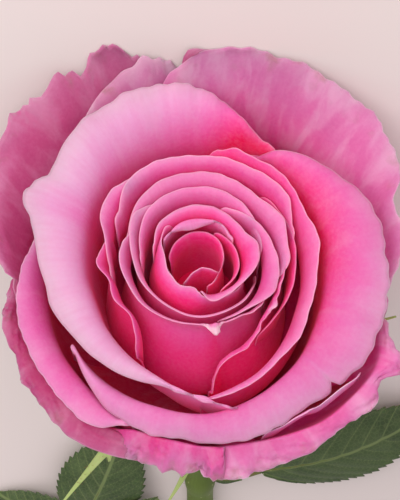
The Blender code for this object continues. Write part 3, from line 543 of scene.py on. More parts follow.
def petal_grid(petal, rng):
    """The petal's middle surface as points [bearing, row, xyz], with its bearings."""
    bearings, ends = petal_columns(petal)
    rows = petal["stations"]
    size = np.radians(bearings) * along(rows, 3, bearings)
    reach = 1 + petal["uneven"] * ripple(size, (19.0, 11.0, 5.0), rng)
    for bearing, width, depth in petal.get("nicks", []):
        reach = reach - depth * hump(bearings, bearing, width)
    radius, height = petal_profiles(petal, bearings, ends, reach)
    # an outer petal narrows to a claw, at the bearing "claw"
    middle = petal.get("claw", 0.0)
    middle -= 360 if middle > rows[-1][0] else 0
    share = min(1.0, CLAW_ANGLE / (rows[-1][0] - rows[0][0])) if "claw" in petal else 1.0
    t = np.concatenate([np.linspace(0.0, 1.0, WALL_ROWS + 1), np.ones(LIP_ROWS)])
    spread = share + (1 - share) * smooth(t / CLAW_SHARE)
    angle = np.radians(middle + (bearings[:, None] - middle) * spread[None, :])
    grid = np.stack([radius * np.cos(angle), radius * np.sin(angle), height], axis=2)
    # waves and crumples, which grow towards the rim
    lift = np.concatenate([np.zeros(WALL_ROWS - 5), np.linspace(0.0, 1.0, LIP_ROWS + 6)])[None, :]
    fine = np.clip(2.2 * lift - 1.2, 0.0, 1.0)
    long_wave, short_wave = ripple(size, (31.0, 17.0), rng), ripple(size, (11.0, 6.3), rng)
    calm = 0.5 + 0.5 * ripple(size, (37.0, 23.0), rng)
    short_wave = short_wave * np.clip(calm, 0.0, 1.0)
    push = petal["wave"] * lift**1.5 * long_wave[:, None] + petal["frill"] * fine * short_wave[:, None]
    if "crumple" in petal:
        down = 16.0 * (1 - lift) + 0 * size[:, None]
        fold = ripple(size[:, None] + 0.6 * down, (7.0, 4.1), rng)
        fold = fold * ripple(down - 0.4 * size[:, None], (9.0, 5.0), rng)
        push = push + petal["crumple"] * np.sqrt(fine) * fold
    for bearing, width, depth in petal.get("nicks", []):
        crumple = -1.4 * min(depth, 0.0) * hump(bearings, bearing, width) * ripple(size, (2.6, 1.7), rng)
        push = push + crumple[:, None] * fine
    push = push * (1 - ends[:, None] ** 4)
    return grid + sheet_normals(grid) * push[:, :, None], bearings


def above_table(grid):
    """Lifts what would sink into the table, in the upright bloom's frame, so that petals rest on it."""
    turn = np.array(bloom_to_table())
    deficit = REST_HEIGHT - (grid @ turn[2, :3] + turn[2, 3])
    return grid + np.maximum(deficit, 0.0)[..., None] * turn[2, :3]


def sheet_normals(grid):
    """Unit normals of a grid of points."""
    side, rise = np.gradient(grid, axis=0), np.gradient(grid, axis=1)
    found = np.cross(side, rise)
    return found / np.maximum(np.linalg.norm(found, axis=2, keepdims=True), 1e-9)


def sheet_faces(across, up):
    """Quads of a closed sheet: the side that the normals leave, the other side, and the border between."""
    index = np.arange(across * up).reshape(across, up)
    a, b, c, d = index[:-1, :-1], index[1:, :-1], index[1:, 1:], index[:-1, 1:]
    quads = np.stack([a, b, c, d], axis=2).reshape(-1, 4)
    other = across * up
    edge = np.concatenate([index[:, 0], index[-1, 1:], index[-2::-1, -1], index[0, -2:0:-1]])
    ahead = np.roll(edge, -1)
    border = np.stack([ahead, edge, edge + other, ahead + other], axis=1)
    return np.concatenate([quads, quads[:, ::-1] + other, border]).tolist()


def new_mesh(name, points, faces=(), edges=()):
    """A smooth-shaded mesh from points in millimetres."""
    mesh = bpy.data.meshes.new(name)
    mesh.from_pydata((np.asarray(points) * MM).tolist(), edges, faces)
    mesh.shade_smooth()
    return mesh


def sheet_mesh(name, grid, thick):
    """A closed sheet about a grid of points; thick is its thickness, one value for each row."""
    push = sheet_normals(grid) * (np.asarray(thick) / 2)[None, :, None]
    points = np.concatenate([(grid + push).reshape(-1, 3), (grid - push).reshape(-1, 3)])
    return new_mesh(name, points, sheet_faces(*grid.shape[:2]))


def paint(mesh, name, values):
    """Stores one value or one vector for each point of the mesh, for the materials to read."""
    values = np.asarray(values, np.float32)
    kind, key = ("FLOAT", "value") if values.ndim == 1 else ("FLOAT_VECTOR", "vector")
    mesh.attributes.new(name, kind, "POINT").data.foreach_set(key, values.ravel())


def paint_sides(mesh, name, across, along_it):
    """Stores two values for each point of a sheet, and which of its two sides the point is on."""
    flat = np.stack([across, along_it], axis=2).reshape(-1, 2)
    paint(mesh, name, np.column_stack([np.tile(flat, (2, 1)), np.repeat([0.0, 1.0], len(flat))]))


def bloom_to_table():
    """The turn and shift, in millimetres, that lay the upright bloom down."""
    side = Vector((-1.0, 0.0, 0.0))
    back = Vector((0.0, -math.sin(TILT), -math.cos(TILT)))
    axis = Vector((0.0, -math.cos(TILT), math.sin(TILT)))
    heart = Vector((0.0, -HEART_FORWARD, HEART_ABOVE_TABLE)) + ROSE_AT
    turn = Matrix((side, back, axis)).transposed().to_4x4()
    return Matrix.Translation(heart - axis * HEART_HEIGHT) @ turn


def lay_down(mesh):
    """Moves a mesh, in metres, from the upright bloom's frame to its place on the table."""
    turn = bloom_to_table()
    mesh.transform(Matrix.Translation(turn.translation * MM) @ turn.to_3x3().to_4x4())


def placed(name, data):
    """A new object in the scene."""
    made = bpy.data.objects.new(name, data)
    bpy.context.scene.collection.objects.link(made)
    return made


def add_piece(name, mesh, material, node):
    """A finished piece: it rides with the rose, and takes the place of one of the part's nodes, which is
    hidden.
    """
    piece = placed(name, mesh)
    if material is not None:
        mesh.materials.clear()
        mesh.materials.append(material)
    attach(piece, "root")
    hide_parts(node)


def build_petal(name, petal, material, node):
    """One thin petal. Its attribute "petal" holds millimetres across, millimetres from the rim and its side,
    and "depth" says how far it has deepened from the rim's pale pink to crimson, as painted shade and painted
    bounce light."""
    grid, bearings = petal_grid(petal, np.random.default_rng(petal["seed"]))
    grid = above_table(grid)
    across, up = grid.shape[:2]
    thick = np.full(up, PETAL_THICK)
    thick[-RIM_ROWS:] = np.linspace(PETAL_THICK, RIM_THICK, RIM_ROWS)
    mesh = sheet_mesh(name, grid, thick)
    steps = np.linalg.norm(np.diff(grid, axis=1), axis=2)
    from_rim = np.concatenate([np.cumsum(steps[:, ::-1], axis=1)[:, ::-1], np.zeros((across, 1))], axis=1)
    wide = np.cumsum(np.linalg.norm(np.diff(grid[:, WALL_ROWS], axis=0), axis=1))
    wide = np.concatenate([[0.0], wide])[:, None]
    paint_sides(mesh, "petal", np.broadcast_to(wide, from_rim.shape), from_rim)
    # painted shade: the colour deepens with distance from the rim, and more where the petal lies in shade
    depth = from_rim / petal["fade"] + by_bearing(petal.get("deep", 0.0), bearings)
    for bearing, width, share in petal.get("nicks", []):
        near = hump(bearings, bearing, width)[:, None]
        depth = depth + min(share, 0.0) * near * hump(from_rim, 0.0, TIP_DRY)
    paint(mesh, "depth", np.tile(depth.ravel(), 2))
    lay_down(mesh)
    add_piece(name, mesh, material, node)


def linear(colour):
    """An sRGB hex value as the linear colour that Blender's sockets take."""
    parts = [int(colour[i:i + 2], 16) / 255 for i in (1, 3, 5)]
    return tuple(c / 12.92 if c <= 0.04045 else ((c + 0.055) / 1.055) ** 2.4 for c in parts) + (1.0,)


def add(tree, kind, inputs=None, stops=None, **settings):
    """Adds a node with its settings. An input is a value, an output to link, or a node, whose first output is
    linked. Stops are a colour ramp's, as (place, sRGB hex) pairs."""
    node = tree.nodes.new(kind)
    for name, value in settings.items():
        setattr(node, name, value)
    for key, value in (inputs or {}).items():
        if isinstance(value, bpy.types.Node):
            value = value.outputs[0]
        if isinstance(value, bpy.types.NodeSocket):
            tree.links.new(value, node.inputs[key])
        else:
            node.inputs[key].default_value = value
    for i, (place, colour) in enumerate(stops or []):
        band = node.color_ramp.elements
        stop = band[i] if i < len(band) else band.new(place)
        stop.position, stop.color = place, linear(colour)
    return node


def new_material(name, **values):
    """A material with its Principled shader's own values set, its nodes, and the place that textures go by.
    A texture's scale is written as 1000 / the size of its pattern in millimetres."""
    made = bpy.data.materials.new(name)
    made.use_nodes = True
    shader = made.node_tree.nodes["Principled BSDF"]
    for key, value in values.items():
        shader.inputs[key.replace("_", " ")].default_value = value
    return made, made.node_tree, add(made.node_tree, "ShaderNodeTexCoord").outputs["Object"]


def tinted(tree, colour, tints):
    """Lays tints over a colour in turn. Each goes by a value: from where it starts to where it is strongest,
    how strong it is there, and its sRGB hex."""
    for value, start, full, most, tint in tints:
        share = add(tree, "ShaderNodeMapRange", {0: value, 1: start, 2: full, 3: 0.0, 4: most})
        mixed = {0: share, 6: colour, 7: linear(tint)}
        colour = add(tree, "ShaderNodeMix", mixed, data_type="RGBA").outputs[2]
    return colour


def coat(tree, colour, height, strength, distance):
    """Links a material's colour and its fine relief."""
    relief = add(tree, "ShaderNodeBump", {"Height": height, "Strength": strength, "Distance": distance})
    shader = tree.nodes["Principled BSDF"]
    tree.links.new(colour, shader.inputs["Base Color"])
    tree.links.new(relief.outputs[0], shader.inputs["Normal"])


def petal_material(name, stops, vein, edge, spots, crease_light):
    """Rose petal, satin velvet: pale at the rim and deeper towards the root, the deepening being painted
    shade and painted bounce light, with faint veins along it and a lighter cut edge, a painted highlight. The
    last value is how strongly the folds along it carry painted highlights and painted shade. Spots, where
    given, is the colour of weathered places along the rim."""
    made, tree, place = new_material(
        name, Roughness=0.58, IOR=1.42, Specular_IOR_Level=0.35,
        Sheen_Weight=0.06, Sheen_Roughness=0.45, Sheen_Tint=linear("#FFD9EC"),
        Subsurface_Weight=0.55, Subsurface_Scale=0.005, Subsurface_Radius=(0.8, 0.35, 0.5),
    )
    flat = add(tree, "ShaderNodeAttribute", attribute_name="petal").outputs["Vector"]
    across, rim, side = add(tree, "ShaderNodeSeparateXYZ", {"Vector": flat}).outputs
    depth = add(tree, "ShaderNodeAttribute", attribute_name="depth").outputs["Fac"]
    cloud = add(tree, "ShaderNodeTexNoise", {"Vector": place, "Scale": 1000 / 16.0, "Detail": 2.0})
    shift = add(tree, "ShaderNodeMath", {0: cloud, 1: 0.22, 2: -0.11}, operation="MULTIPLY_ADD")
    moved = add(tree, "ShaderNodeMath", {0: depth, 1: shift}, operation="ADD", use_clamp=True)
    # the ramp turns depth into colour: pale pink at the rim, crimson where the painted shade is deepest
    colour = add(tree, "ShaderNodeValToRGB", {0: moved}, stops).outputs[0]

    # veins 0.8 mm apart, and folds a few millimetres wide, both drawn out along the petal
    drawn = {}
    for key, stretch, pattern in (
        ("veins", 0.055, {"Scale": 1.25, "Detail": 3.0}),
        ("folds", 0.35, {"Scale": 0.2, "Detail": 3.0, "Distortion": 0.5}),
    ):
        along_it = add(tree, "ShaderNodeMath", {0: rim, 1: stretch}, operation="MULTIPLY")
        run = add(tree, "ShaderNodeCombineXYZ", {0: across, 1: along_it, 2: side})
        drawn[key] = add(tree, "ShaderNodeTexNoise", {"Vector": run, **pattern})
    veins, folds = drawn["veins"], drawn["folds"]
    grain = add(tree, "ShaderNodeTexNoise", {"Vector": place, "Scale": 1000 / 0.9, "Detail": 2.0})
    # the folds' painted highlights and painted shade are fainter on a petal's back
    shown = {0: side, 1: 0.65 * crease_light, 2: 0.35 * crease_light}
    shown = add(tree, "ShaderNodeMath", shown, operation="MULTIPLY_ADD")
    tints = [
        (veins, 0.38, 0.68, 0.10, vein),
        (grain, 0.35, 0.75, 0.07, edge),
        # painted highlights on the folds' ridges in the edge colour, and painted shade in their troughs in
        # the vein colour
        (folds, 0.46, 0.70, shown, edge),
        (folds, 0.46, 0.26, shown, vein),
        (depth, 0.0, -0.4, 0.8, edge),  # a crumpled tip has dried almost white
    ]
    if spots:
        patch = add(tree, "ShaderNodeTexNoise", {"Vector": place, "Scale": 1000 / 5.0, "Detail": 4.0})
        near = add(tree, "ShaderNodeMapRange", {0: rim, 1: 7.0, 2: 0.5, 3: 0.0, 4: 0.5})
        tints.append((patch, 0.56, 0.70, near, spots))
    tints.append((rim, 0.40, 0.10, 0.22, edge))  # the thin cut edge catches the light
    height = add(tree, "ShaderNodeMath", {0: veins, 1: grain}, operation="ADD")
    coat(tree, tinted(tree, colour, tints), height, 0.35, 0.00018)
    return made


def leaf_material(name, top, under, vein):
    """Leaf skin, waxy above and duller beneath: paler along the veins, darker and mottled between them."""
    made, tree, place = new_material(
        name, Roughness=0.5, IOR=1.45, Specular_IOR_Level=0.4,
        Subsurface_Weight=0.12, Subsurface_Scale=0.0015, Subsurface_Radius=(0.4, 1.0, 0.2),
    )
    flat = add(tree, "ShaderNodeAttribute", attribute_name="leaf").outputs["Vector"]
    rib, gap, side = add(tree, "ShaderNodeSeparateXYZ", {"Vector": flat}).outputs
    cloud = add(tree, "ShaderNodeTexNoise", {"Vector": place, "Scale": 1000 / 7.0, "Detail": 4.0})
    upper, lower = [add(tree, "ShaderNodeValToRGB", {0: cloud}, stops).outputs[0] for stops in (top, under)]
    skin = add(tree, "ShaderNodeMix", {0: side, 6: upper, 7: lower}, data_type="RGBA").outputs[2]
    net = {"Vector": place, "Scale": 1000 / 1.3}
    net = add(tree, "ShaderNodeTexVoronoi", net, feature="DISTANCE_TO_EDGE")
    line = 0.0
    for value, start, full, most in ((net, 0.10, 0.02, 0.22), (gap, 0.45, 0.12, 0.5), (rib, 0.8, 0.3, 0.75)):
        share = add(tree, "ShaderNodeMapRange", {0: value, 1: start, 2: full, 3: 0.0, 4: most})
        line = add(tree, "ShaderNodeMath", {0: line, 1: share}, operation="MAXIMUM")
    skin = add(tree, "ShaderNodeMix", {0: line, 6: skin, 7: linear(vein)}, data_type="RGBA").outputs[2]
    coat(tree, skin, net, 0.4, 0.0002)
    return made


def stem_material(name, stops, streak):
    """Smooth stem skin: fine streaks run along it, with small pale pores and an olive-brown flush in patches.
    """
    made, tree, place = new_material(
        name, Roughness=0.45, IOR=1.45, Specular_IOR_Level=0.4,
        Subsurface_Weight=0.1, Subsurface_Scale=0.001, Subsurface_Radius=(0.5, 1.0, 0.3),
    )
    drawn = add(tree, "ShaderNodeMapping", {"Vector": place, "Scale": (1.0, 0.07, 1.0)})
    lines = add(tree, "ShaderNodeTexNoise", {"Vector": drawn, "Scale": 1000 / 0.7, "Detail": 3.0})
    cloud = add(tree, "ShaderNodeTexNoise", {"Vector": place, "Scale": 1000 / 14.0, "Detail": 3.0})
    pores = add(tree, "ShaderNodeTexVoronoi", {"Vector": place, "Scale": 1000 / 2.6})
    skin = add(tree, "ShaderNodeValToRGB", {0: cloud}, stops).outputs[0]
    skin = tinted(tree, skin, [(lines, 0.4, 0.7, 0.35, streak), (pores, 0.16, 0.10, 0.4, "#B9BE84")])
    coat(tree, skin, lines, 0.4, 0.00015)
    return made


def graded_material(name, attribute, stops, roughness):
    """A surface whose colour goes by one attribute, broken up by a fine mottle."""
    made, tree, place = new_material(name, Roughness=roughness, IOR=1.45, Specular_IOR_Level=0.35)
    value = add(tree, "ShaderNodeAttribute", attribute_name=attribute).outputs["Fac"]
    grain = add(tree, "ShaderNodeTexNoise", {"Vector": place, "Scale": 1000 / 0.6, "Detail": 3.0})
    moved = add(tree, "ShaderNodeMath", {0: grain, 1: 0.2, 2: value}, operation="MULTIPLY_ADD")
    moved = add(tree, "ShaderNodeMath", {0: moved, 1: 0.1}, operation="SUBTRACT")
    colour = add(tree, "ShaderNodeValToRGB", {0: moved}, stops)
    coat(tree, colour.outputs[0], grain, 0.3, 0.0001)
    return made


def new_tree(name, **sizes):
    """An empty Geometry Nodes tree with its material and its sizes as named inputs."""
    tree = bpy.data.node_groups.new(name, "GeometryNodeTree")
    tree.interface.new_socket("Geometry", in_out="OUTPUT", socket_type="NodeSocketGeometry")
    tree.interface.new_socket("Geometry", in_out="INPUT", socket_type="NodeSocketGeometry")
    tree.interface.new_socket("Material", in_out="INPUT", socket_type="NodeSocketMaterial")
    for key, value in sizes.items():
        kind = "NodeSocketInt" if isinstance(value, int) else "NodeSocketFloat"
        size = tree.interface.new_socket(key.replace("_", " "), in_out="INPUT", socket_type=kind)
        size.default_value = value
    return tree, add(tree, "NodeGroupInput").outputs


def sweep(tree, path, thick, sides):
    """A round bar along a path, with its ends closed."""
    ring = add(tree, "GeometryNodeCurvePrimitiveCircle", {"Resolution": sides, "Radius": 1.0})
    ends = {"Curve": path, "Profile Curve": ring, "Scale": thick, "Fill Caps": True}
    return add(tree, "GeometryNodeCurveToMesh", ends)


def strew(tree, points, piece, turn, sizes, seed):
    """A piece on each point, turned as it says and a little larger or smaller."""
    size = {2: sizes[0], 3: sizes[1], "Seed": seed}
    size = add(tree, "FunctionNodeRandomValue", size, data_type="FLOAT").outputs[1]
    seat = {"Points": points, "Instance": piece, "Rotation": turn, "Scale": size}
    return add(tree, "GeometryNodeInstanceOnPoints", seat)


def end_tree(tree, geometry, material):
    """Every tree ends alike: smooth shading, its instances made real and the material given to them."""
    soft = add(tree, "GeometryNodeSetShadeSmooth", {"Geometry": geometry})
    real = add(tree, "GeometryNodeRealizeInstances", {"Geometry": soft})
    coated = add(tree, "GeometryNodeSetMaterial", {"Geometry": real, "Material": material})
    add(tree, "NodeGroupOutput", {0: coated})
    return tree


def shoot_tree():
    """Sweeps a round stem along each path, as thick as the path's attribute "thick" says."""
    tree, given = new_tree("shoots", Sides=16)
    path = add(tree, "GeometryNodeMeshToCurve", {"Mesh": given["Geometry"]})
    thick = add(tree, "GeometryNodeInputNamedAttribute", {"Name": "thick"}, data_type="FLOAT")
    return end_tree(tree, sweep(tree, path, thick, given["Sides"]), given["Material"])


def prickle_tree():
    """Sets a hooked prickle on each point, out along the attribute "out" and hooked along "down"."""
    tree, given = new_tree("prickles", Length=0.0046, Base=0.0021, Hook=0.003, Sides=10, Seed=4)
    bend = add(tree, "ShaderNodeMath", {0: given["Length"], 1: 0.75}, operation="MULTIPLY")
    ends = {"Start": {"Z": -0.0012}, "Middle": {"Z": bend}, "End": {"Y": given["Hook"], "Z": given["Length"]}}
    ends = {key: add(tree, "ShaderNodeCombineXYZ", parts) for key, parts in ends.items()}
    spine = add(tree, "GeometryNodeCurveQuadraticBezier", dict(ends, Resolution=9))
    share = add(tree, "GeometryNodeSplineParameter").outputs["Factor"]
    spine = {"Geometry": spine, "Name": "tip", "Value": share}
    spine = add(tree, "GeometryNodeStoreNamedAttribute", spine, data_type="FLOAT")
    left = add(tree, "ShaderNodeMath", {0: 1.02, 1: share}, operation="SUBTRACT")
    taper = add(tree, "ShaderNodeMath", {0: left, 1: 1.5}, operation="POWER")
    thick = add(tree, "ShaderNodeMath", {0: taper, 1: given["Base"]}, operation="MULTIPLY")
    horn = sweep(tree, spine, thick, given["Sides"])
    flat = add(tree, "GeometryNodeTransform", {"Geometry": horn, "Scale": (0.62, 1.2, 1.0)})
    ways = [
        add(tree, "GeometryNodeInputNamedAttribute", {"Name": name}, data_type="FLOAT_VECTOR")
        for name in ("out", "down")
    ]
    turn = {"Primary Axis": ways[0], "Secondary Axis": ways[1]}
    turn = add(tree, "FunctionNodeAxesToRotation", turn, primary_axis="Z", secondary_axis="Y")
    spread = strew(tree, given["Geometry"], flat, turn, (0.8, 1.0), given["Seed"])
    return end_tree(tree, spread, given["Material"])


def hair_tree():
    """Strews short stalks, each with a round gland on its end, over a surface."""
    sizes = dict(Density=250000.0, Length=0.0009, Stalk=0.00005, Gland=0.0001, Seed=9)
    tree, given = new_tree("gland hairs", **sizes)
    spots = {"Mesh": given["Geometry"], "Density": given["Density"], "Seed": given["Seed"]}
    spots = add(tree, "GeometryNodeDistributePointsOnFaces", spots).outputs
    stalk = {"Vertices": 5, "Radius Top": 0.00003, "Radius Bottom": given["Stalk"], "Depth": given["Length"]}
    stalk = add(tree, "GeometryNodeMeshCone", stalk)
    gland = add(tree, "GeometryNodeMeshIcoSphere", {"Radius": given["Gland"], "Subdivisions": 1})
    top = add(tree, "ShaderNodeCombineXYZ", {"Z": given["Length"]})
    gland = add(tree, "GeometryNodeTransform", {"Geometry": gland, "Translation": top})
    hair = add(tree, "GeometryNodeJoinGeometry", {0: stalk})
    tree.links.new(gland.outputs[0], hair.inputs[0])
    spread = strew(tree, spots["Points"], hair, spots["Rotation"], (0.5, 1.1), given["Seed"])
    return end_tree(tree, spread, given["Material"])


def grown(name, mesh, tree, material, **sizes):
    """The plain mesh that a tree makes of a mesh."""
    host = placed(name, mesh)
    nodes = host.modifiers.new(name, "NODES")
    nodes.node_group = tree
    keys = {item.name: item.identifier for item in tree.interface.items_tree if item.in_out == "INPUT"}
    for key, value in dict(sizes, Material=material).items():
        nodes[keys[key.replace("_", " ")]] = value
    bpy.context.view_layer.update()
    made = bpy.data.meshes.new_from_object(host.evaluated_get(bpy.context.evaluated_depsgraph_get()))
    host.modifiers.remove(nodes)
    bpy.data.objects.remove(host)
    made.name = name
    return made


def paths_mesh(name, paths):
    """Open paths as edges. Each path is its points and its radii, in millimetres."""
    edges, first = [], 0
    for path, radii in paths:
        edges += [(first + i, first + i + 1) for i in range(len(path) - 1)]
        first += len(path)
    mesh = new_mesh(name, np.concatenate([path for path, radii in paths]), edges=edges)
    paint(mesh, "thick", np.concatenate([radii for path, radii in paths]) * MM)
    return mesh


def rounded(points, steps):
    """A smooth path through a few points."""
    rows = [(k, *point) for k, point in enumerate(points)]
    at = np.linspace(0.0, len(points) - 1.0, steps)
    return np.stack([along(rows, k, at) for k in range(1, len(rows[0]))], axis=1)


def stem_at(distance):
    """The stem's middle at a distance down it: bending out of the calyx, then level on the table."""
    top = bloom_to_table() @ Vector((0, 0, STEM_TOP))
    bend = (top.z - STEM_RADIUS) / (1 - math.cos(TILT))
    turned = min(TILT, distance / bend)
    run = max(0.0, distance - TILT * bend)
    y = top.y + bend * (math.sin(TILT) - math.sin(TILT - turned)) + run
    return Vector((top.x, y, STEM_RADIUS + bend * (1 - math.cos(TILT - turned))))


def stem_length():
    """From the calyx to the cut: the bend and the straight."""
    top = bloom_to_table() @ Vector((0, 0, STEM_TOP))
    return TILT * (top.z - STEM_RADIUS) / (1 - math.cos(TILT)) + STEM_STRAIGHT


def polar(angle, radius):
    """A point's two places across an axis."""
    return radius * np.cos(angle), radius * np.sin(angle)


def ring_faces(rings, sides):
    """Quads between rings of points, and the number of each point."""
    index = np.arange(rings * sides).reshape(rings, sides)
    ahead = np.roll(index, -1, axis=1)
    quads = np.stack([index[:-1], index[1:], ahead[1:], ahead[:-1]], axis=2).reshape(-1, 4)
    return quads.tolist(), index.tolist()


def turned_mesh(name, profile, steps, sides):
    """A closed round solid through (radius, height) rows from the top down."""
    radius, height = rounded(profile, steps)[:, :, None].transpose(1, 0, 2)
    across, deep = polar(np.linspace(0.0, 2 * np.pi, sides, endpoint=False), radius)
    points = np.stack([across, deep, np.repeat(height, sides, 1)], axis=2).reshape(-1, 3)
    quads, index = ring_faces(steps, sides)
    return new_mesh(name, points, quads + [index[0], index[-1][::-1]])


def joined(name, meshes):
    """The meshes as one, with their attributes."""
    shape = bmesh.new()
    for mesh in meshes:
        shape.from_mesh(mesh)
    made = bpy.data.meshes.new(name)
    shape.to_mesh(made)
    shape.free()
    made.shade_smooth()
    return made


def blade(name, grid, across, veins, thick):
    """A leafy sheet. Its attribute "leaf" holds how far it is from the rib and from a vein, and its side."""
    mesh = sheet_mesh(name, grid, np.full(grid.shape[1], thick))
    paint_sides(mesh, "leaf", across, veins + 0 * across)
    return mesh


def sepal_mesh(base, tip, mid_radius, mid_height, tip_radius, tip_height, width, lobed):
    """A lance-shaped sepal, keeled along its middle, with thin side lobes on some."""
    bearings = np.radians([base, (base + tip) / 2, tip])
    across, deep = polar(bearings, np.array([SEPAL_ROOT[0], mid_radius, tip_radius]))
    t = np.linspace(0.0, 1.0, 71)[:, None]
    s = np.linspace(-1.0, 1.0, 9)[None, :]
    centre = curve(*np.stack([across, deep, [SEPAL_ROOT[1], mid_height, tip_height]], axis=1), t)
    ahead = np.gradient(centre, axis=0)
    ahead /= np.linalg.norm(ahead, axis=1, keepdims=True)
    side = np.cross([0.0, 0.0, 1.0], ahead)
    side /= np.linalg.norm(side, axis=1, keepdims=True)
    half = width / 2 * (0.05 + 0.95 * (1 - t) ** 1.3 * smooth(3.2 * t + 0.55))
    lobes = sum(reach * hump(t, place, 0.016) for place, reach in SEPAL_LOBES) if lobed else 0 * t
    wide = half * s + lobes * s**3
    lean = 1.4 * lobes * np.abs(s) ** 3
    grid = centre[:, None] + side[:, None] * wide[..., None] + ahead[:, None] * lean[..., None]
    grid[:, :, 2] -= 0.22 * half * s**2 + 0.175 * half * hump(s, 0.0, 0.22)
    return blade("sepal", grid, np.abs(wide), FAR_FROM_VEINS, SEPAL_THICK)


def leaflet(base, heading, length, width, tip_height):
    """An oval pointed blade with forward teeth, quilted between its side veins, and the veins' own paths."""
    angle = math.radians(heading)
    ahead = np.array([math.sin(angle), -math.cos(angle), 0.0])
    side = np.array([math.cos(angle), math.sin(angle), 0.0])
    teeth = round(length / TOOTH_PITCH)
    rows = TOOTH_ROWS * teeth
    t = np.linspace(0.0, 1.0, rows + 1)[:, None]
    s = np.linspace(-1.0, 1.0, 2 * HALF_COLUMNS + 1)[None, :]
    half = width / 2 * (0.04 + 0.96 * np.sin(np.pi * np.clip(t, 0, 1) ** 0.8) ** 0.85)
    half[-1] = 0.1
    saw = (t * teeth - 0.02) % 1.0
    rim = np.abs(s) ** 7
    wide = half * s * (1 + 0.09 * (saw - 0.6) * rim)
    far = np.abs(wide)
    sweep_back = 0.85 * far + 0.035 * far**2
    pitch = length / (VEIN_PAIRS + 2)
    place = (t * length - sweep_back) / pitch
    gap = np.abs(place - np.round(place)) * pitch * 0.75
    quilt = 0.28 * (1 - hump(gap, 0.0, 0.9)) + 0.3 * (1 - hump(far, 0.0, 0.9))
    sway = 0.035 * width * np.sin(2 * np.pi * (1.35 * t + 0.2 * np.sign(s)) + heading) * s**2
    height = base[2] + (tip_height - base[2]) * t + 0.10 * length * np.sin(np.pi * t)
    height = height - 0.16 * half * np.abs(s) ** 1.4 + quilt + sway - 0.4
    run = t * length + 0.016 * length * saw * rim
    grid = ahead * run[..., None] + side * wide[..., None]
    grid += np.stack([base[0] + 0 * height, base[1] + 0 * height, height], axis=2)
    mesh = blade("leaflet", grid, far, gap, BLADE_THICK)
    under = grid - sheet_normals(grid) * 0.2
    middle = under[:, HALF_COLUMNS]
    veins = [(middle, np.linspace(*RIB_RADII, len(middle)))]
    reach = np.arange(HALF_COLUMNS + 1)
    for k in range(1, VEIN_PAIRS + 1):
        start = int(round(rows * k * pitch / length))
        for column in (HALF_COLUMNS - reach, HALF_COLUMNS + reach):
            back = np.round(sweep_back[start, column] * rows / length).astype(int)
            path = under[np.clip(start + back, 0, rows), column]
            veins.append((path, np.linspace(*VEIN_RADII, len(reach))))
    return mesh, veins


def stipule(start, ahead, turn):
    """One of the two narrow wings at the foot of a leaf stalk."""
    t = np.linspace(0.0, 1.0, 15)[:, None]
    s = np.linspace(0.0, 1.0, 5)[None, :]
    side = np.cross([0.0, 0.0, 1.0], ahead) * turn
    wide = 1.9 * np.sin(np.pi * (0.12 + 0.8 * t)) * (1 - 0.5 * t) * s + 0.9 * np.maximum(t - 0.7, 0) * s
    grid = start + ahead * (STIPULE_LENGTH * t)[..., None] + side * (0.5 + wide)[..., None]
    grid[:, :, 2] += 0.6 * wide * s
    return blade("stipule", grid[:, ::turn], wide[:, ::turn], FAR_FROM_VEINS, STIPULE_THICK)


def build_receptacle():
    """The core that the petals are rooted in: green where it leaves the hip, and crimson further up."""
    mesh = turned_mesh("receptacle", CORE[::-1], 60, 64)
    height = np.array([vert.co.z for vert in mesh.vertices])
    paint(mesh, "rise", (height - height.min()) / (height.max() - height.min()))
    lay_down(mesh)
    skin = graded_material("receptacle, green to crimson", "rise", CORE_STOPS, 0.55)
    add_piece("receptacle", mesh, skin, "bloom_heart")


def build_calyx(hairs):
    """The hip and its sepals, with gland hairs all over."""
    hip = turned_mesh("hip", HIP, 50, 56)
    paint(hip, "leaf", np.tile([9.0, FAR_FROM_VEINS, 1.0], (len(hip.vertices), 1)))
    mesh = joined("calyx", [hip] + [sepal_mesh(*sepal) for sepal in SEPALS])
    lay_down(mesh)
    gland = graded_material("gland hairs, reddish", "depth", GLAND_STOPS, 0.5)
    strewn = grown("calyx_hairs", mesh.copy(), hairs, gland)
    skin = leaf_material("calyx, downy green", SEPAL_INSIDE, SEPAL_OUTSIDE, "#A9BC74")
    add_piece("calyx_sepals", mesh, skin, "calyx")
    add_piece("calyx_hairs", strewn, None, "calyx")


def build_bark(shoots):
    """The stem's skin, swollen where a leaf leaves it."""
    length = stem_length()
    down = np.append(np.arange(-STEM_SINK, length, STEM_STEP), length)
    swell = sum(NODE_SWELL * hump(down, leaf["node"], NODE_LENGTH) for leaf in LEAVES.values())
    top_way = (stem_at(1.0) - stem_at(0.0)).normalized()
    path = np.array([stem_at(max(d, 0.0)) + top_way * min(d, 0.0) for d in down])
    path[:, 2] += swell
    skin = stem_material("rose stem, green bark", STEM_STOPS, "#4E5F28")
    mesh = grown("stem", paths_mesh("stem", [(path, STEM_RADIUS + swell)]), shoots, skin, Sides=STEM_SIDES)
    for face in mesh.polygons:
        face.use_smooth = len(face.vertices) == 4
    add_piece("stem_bark", mesh, None, "stem")


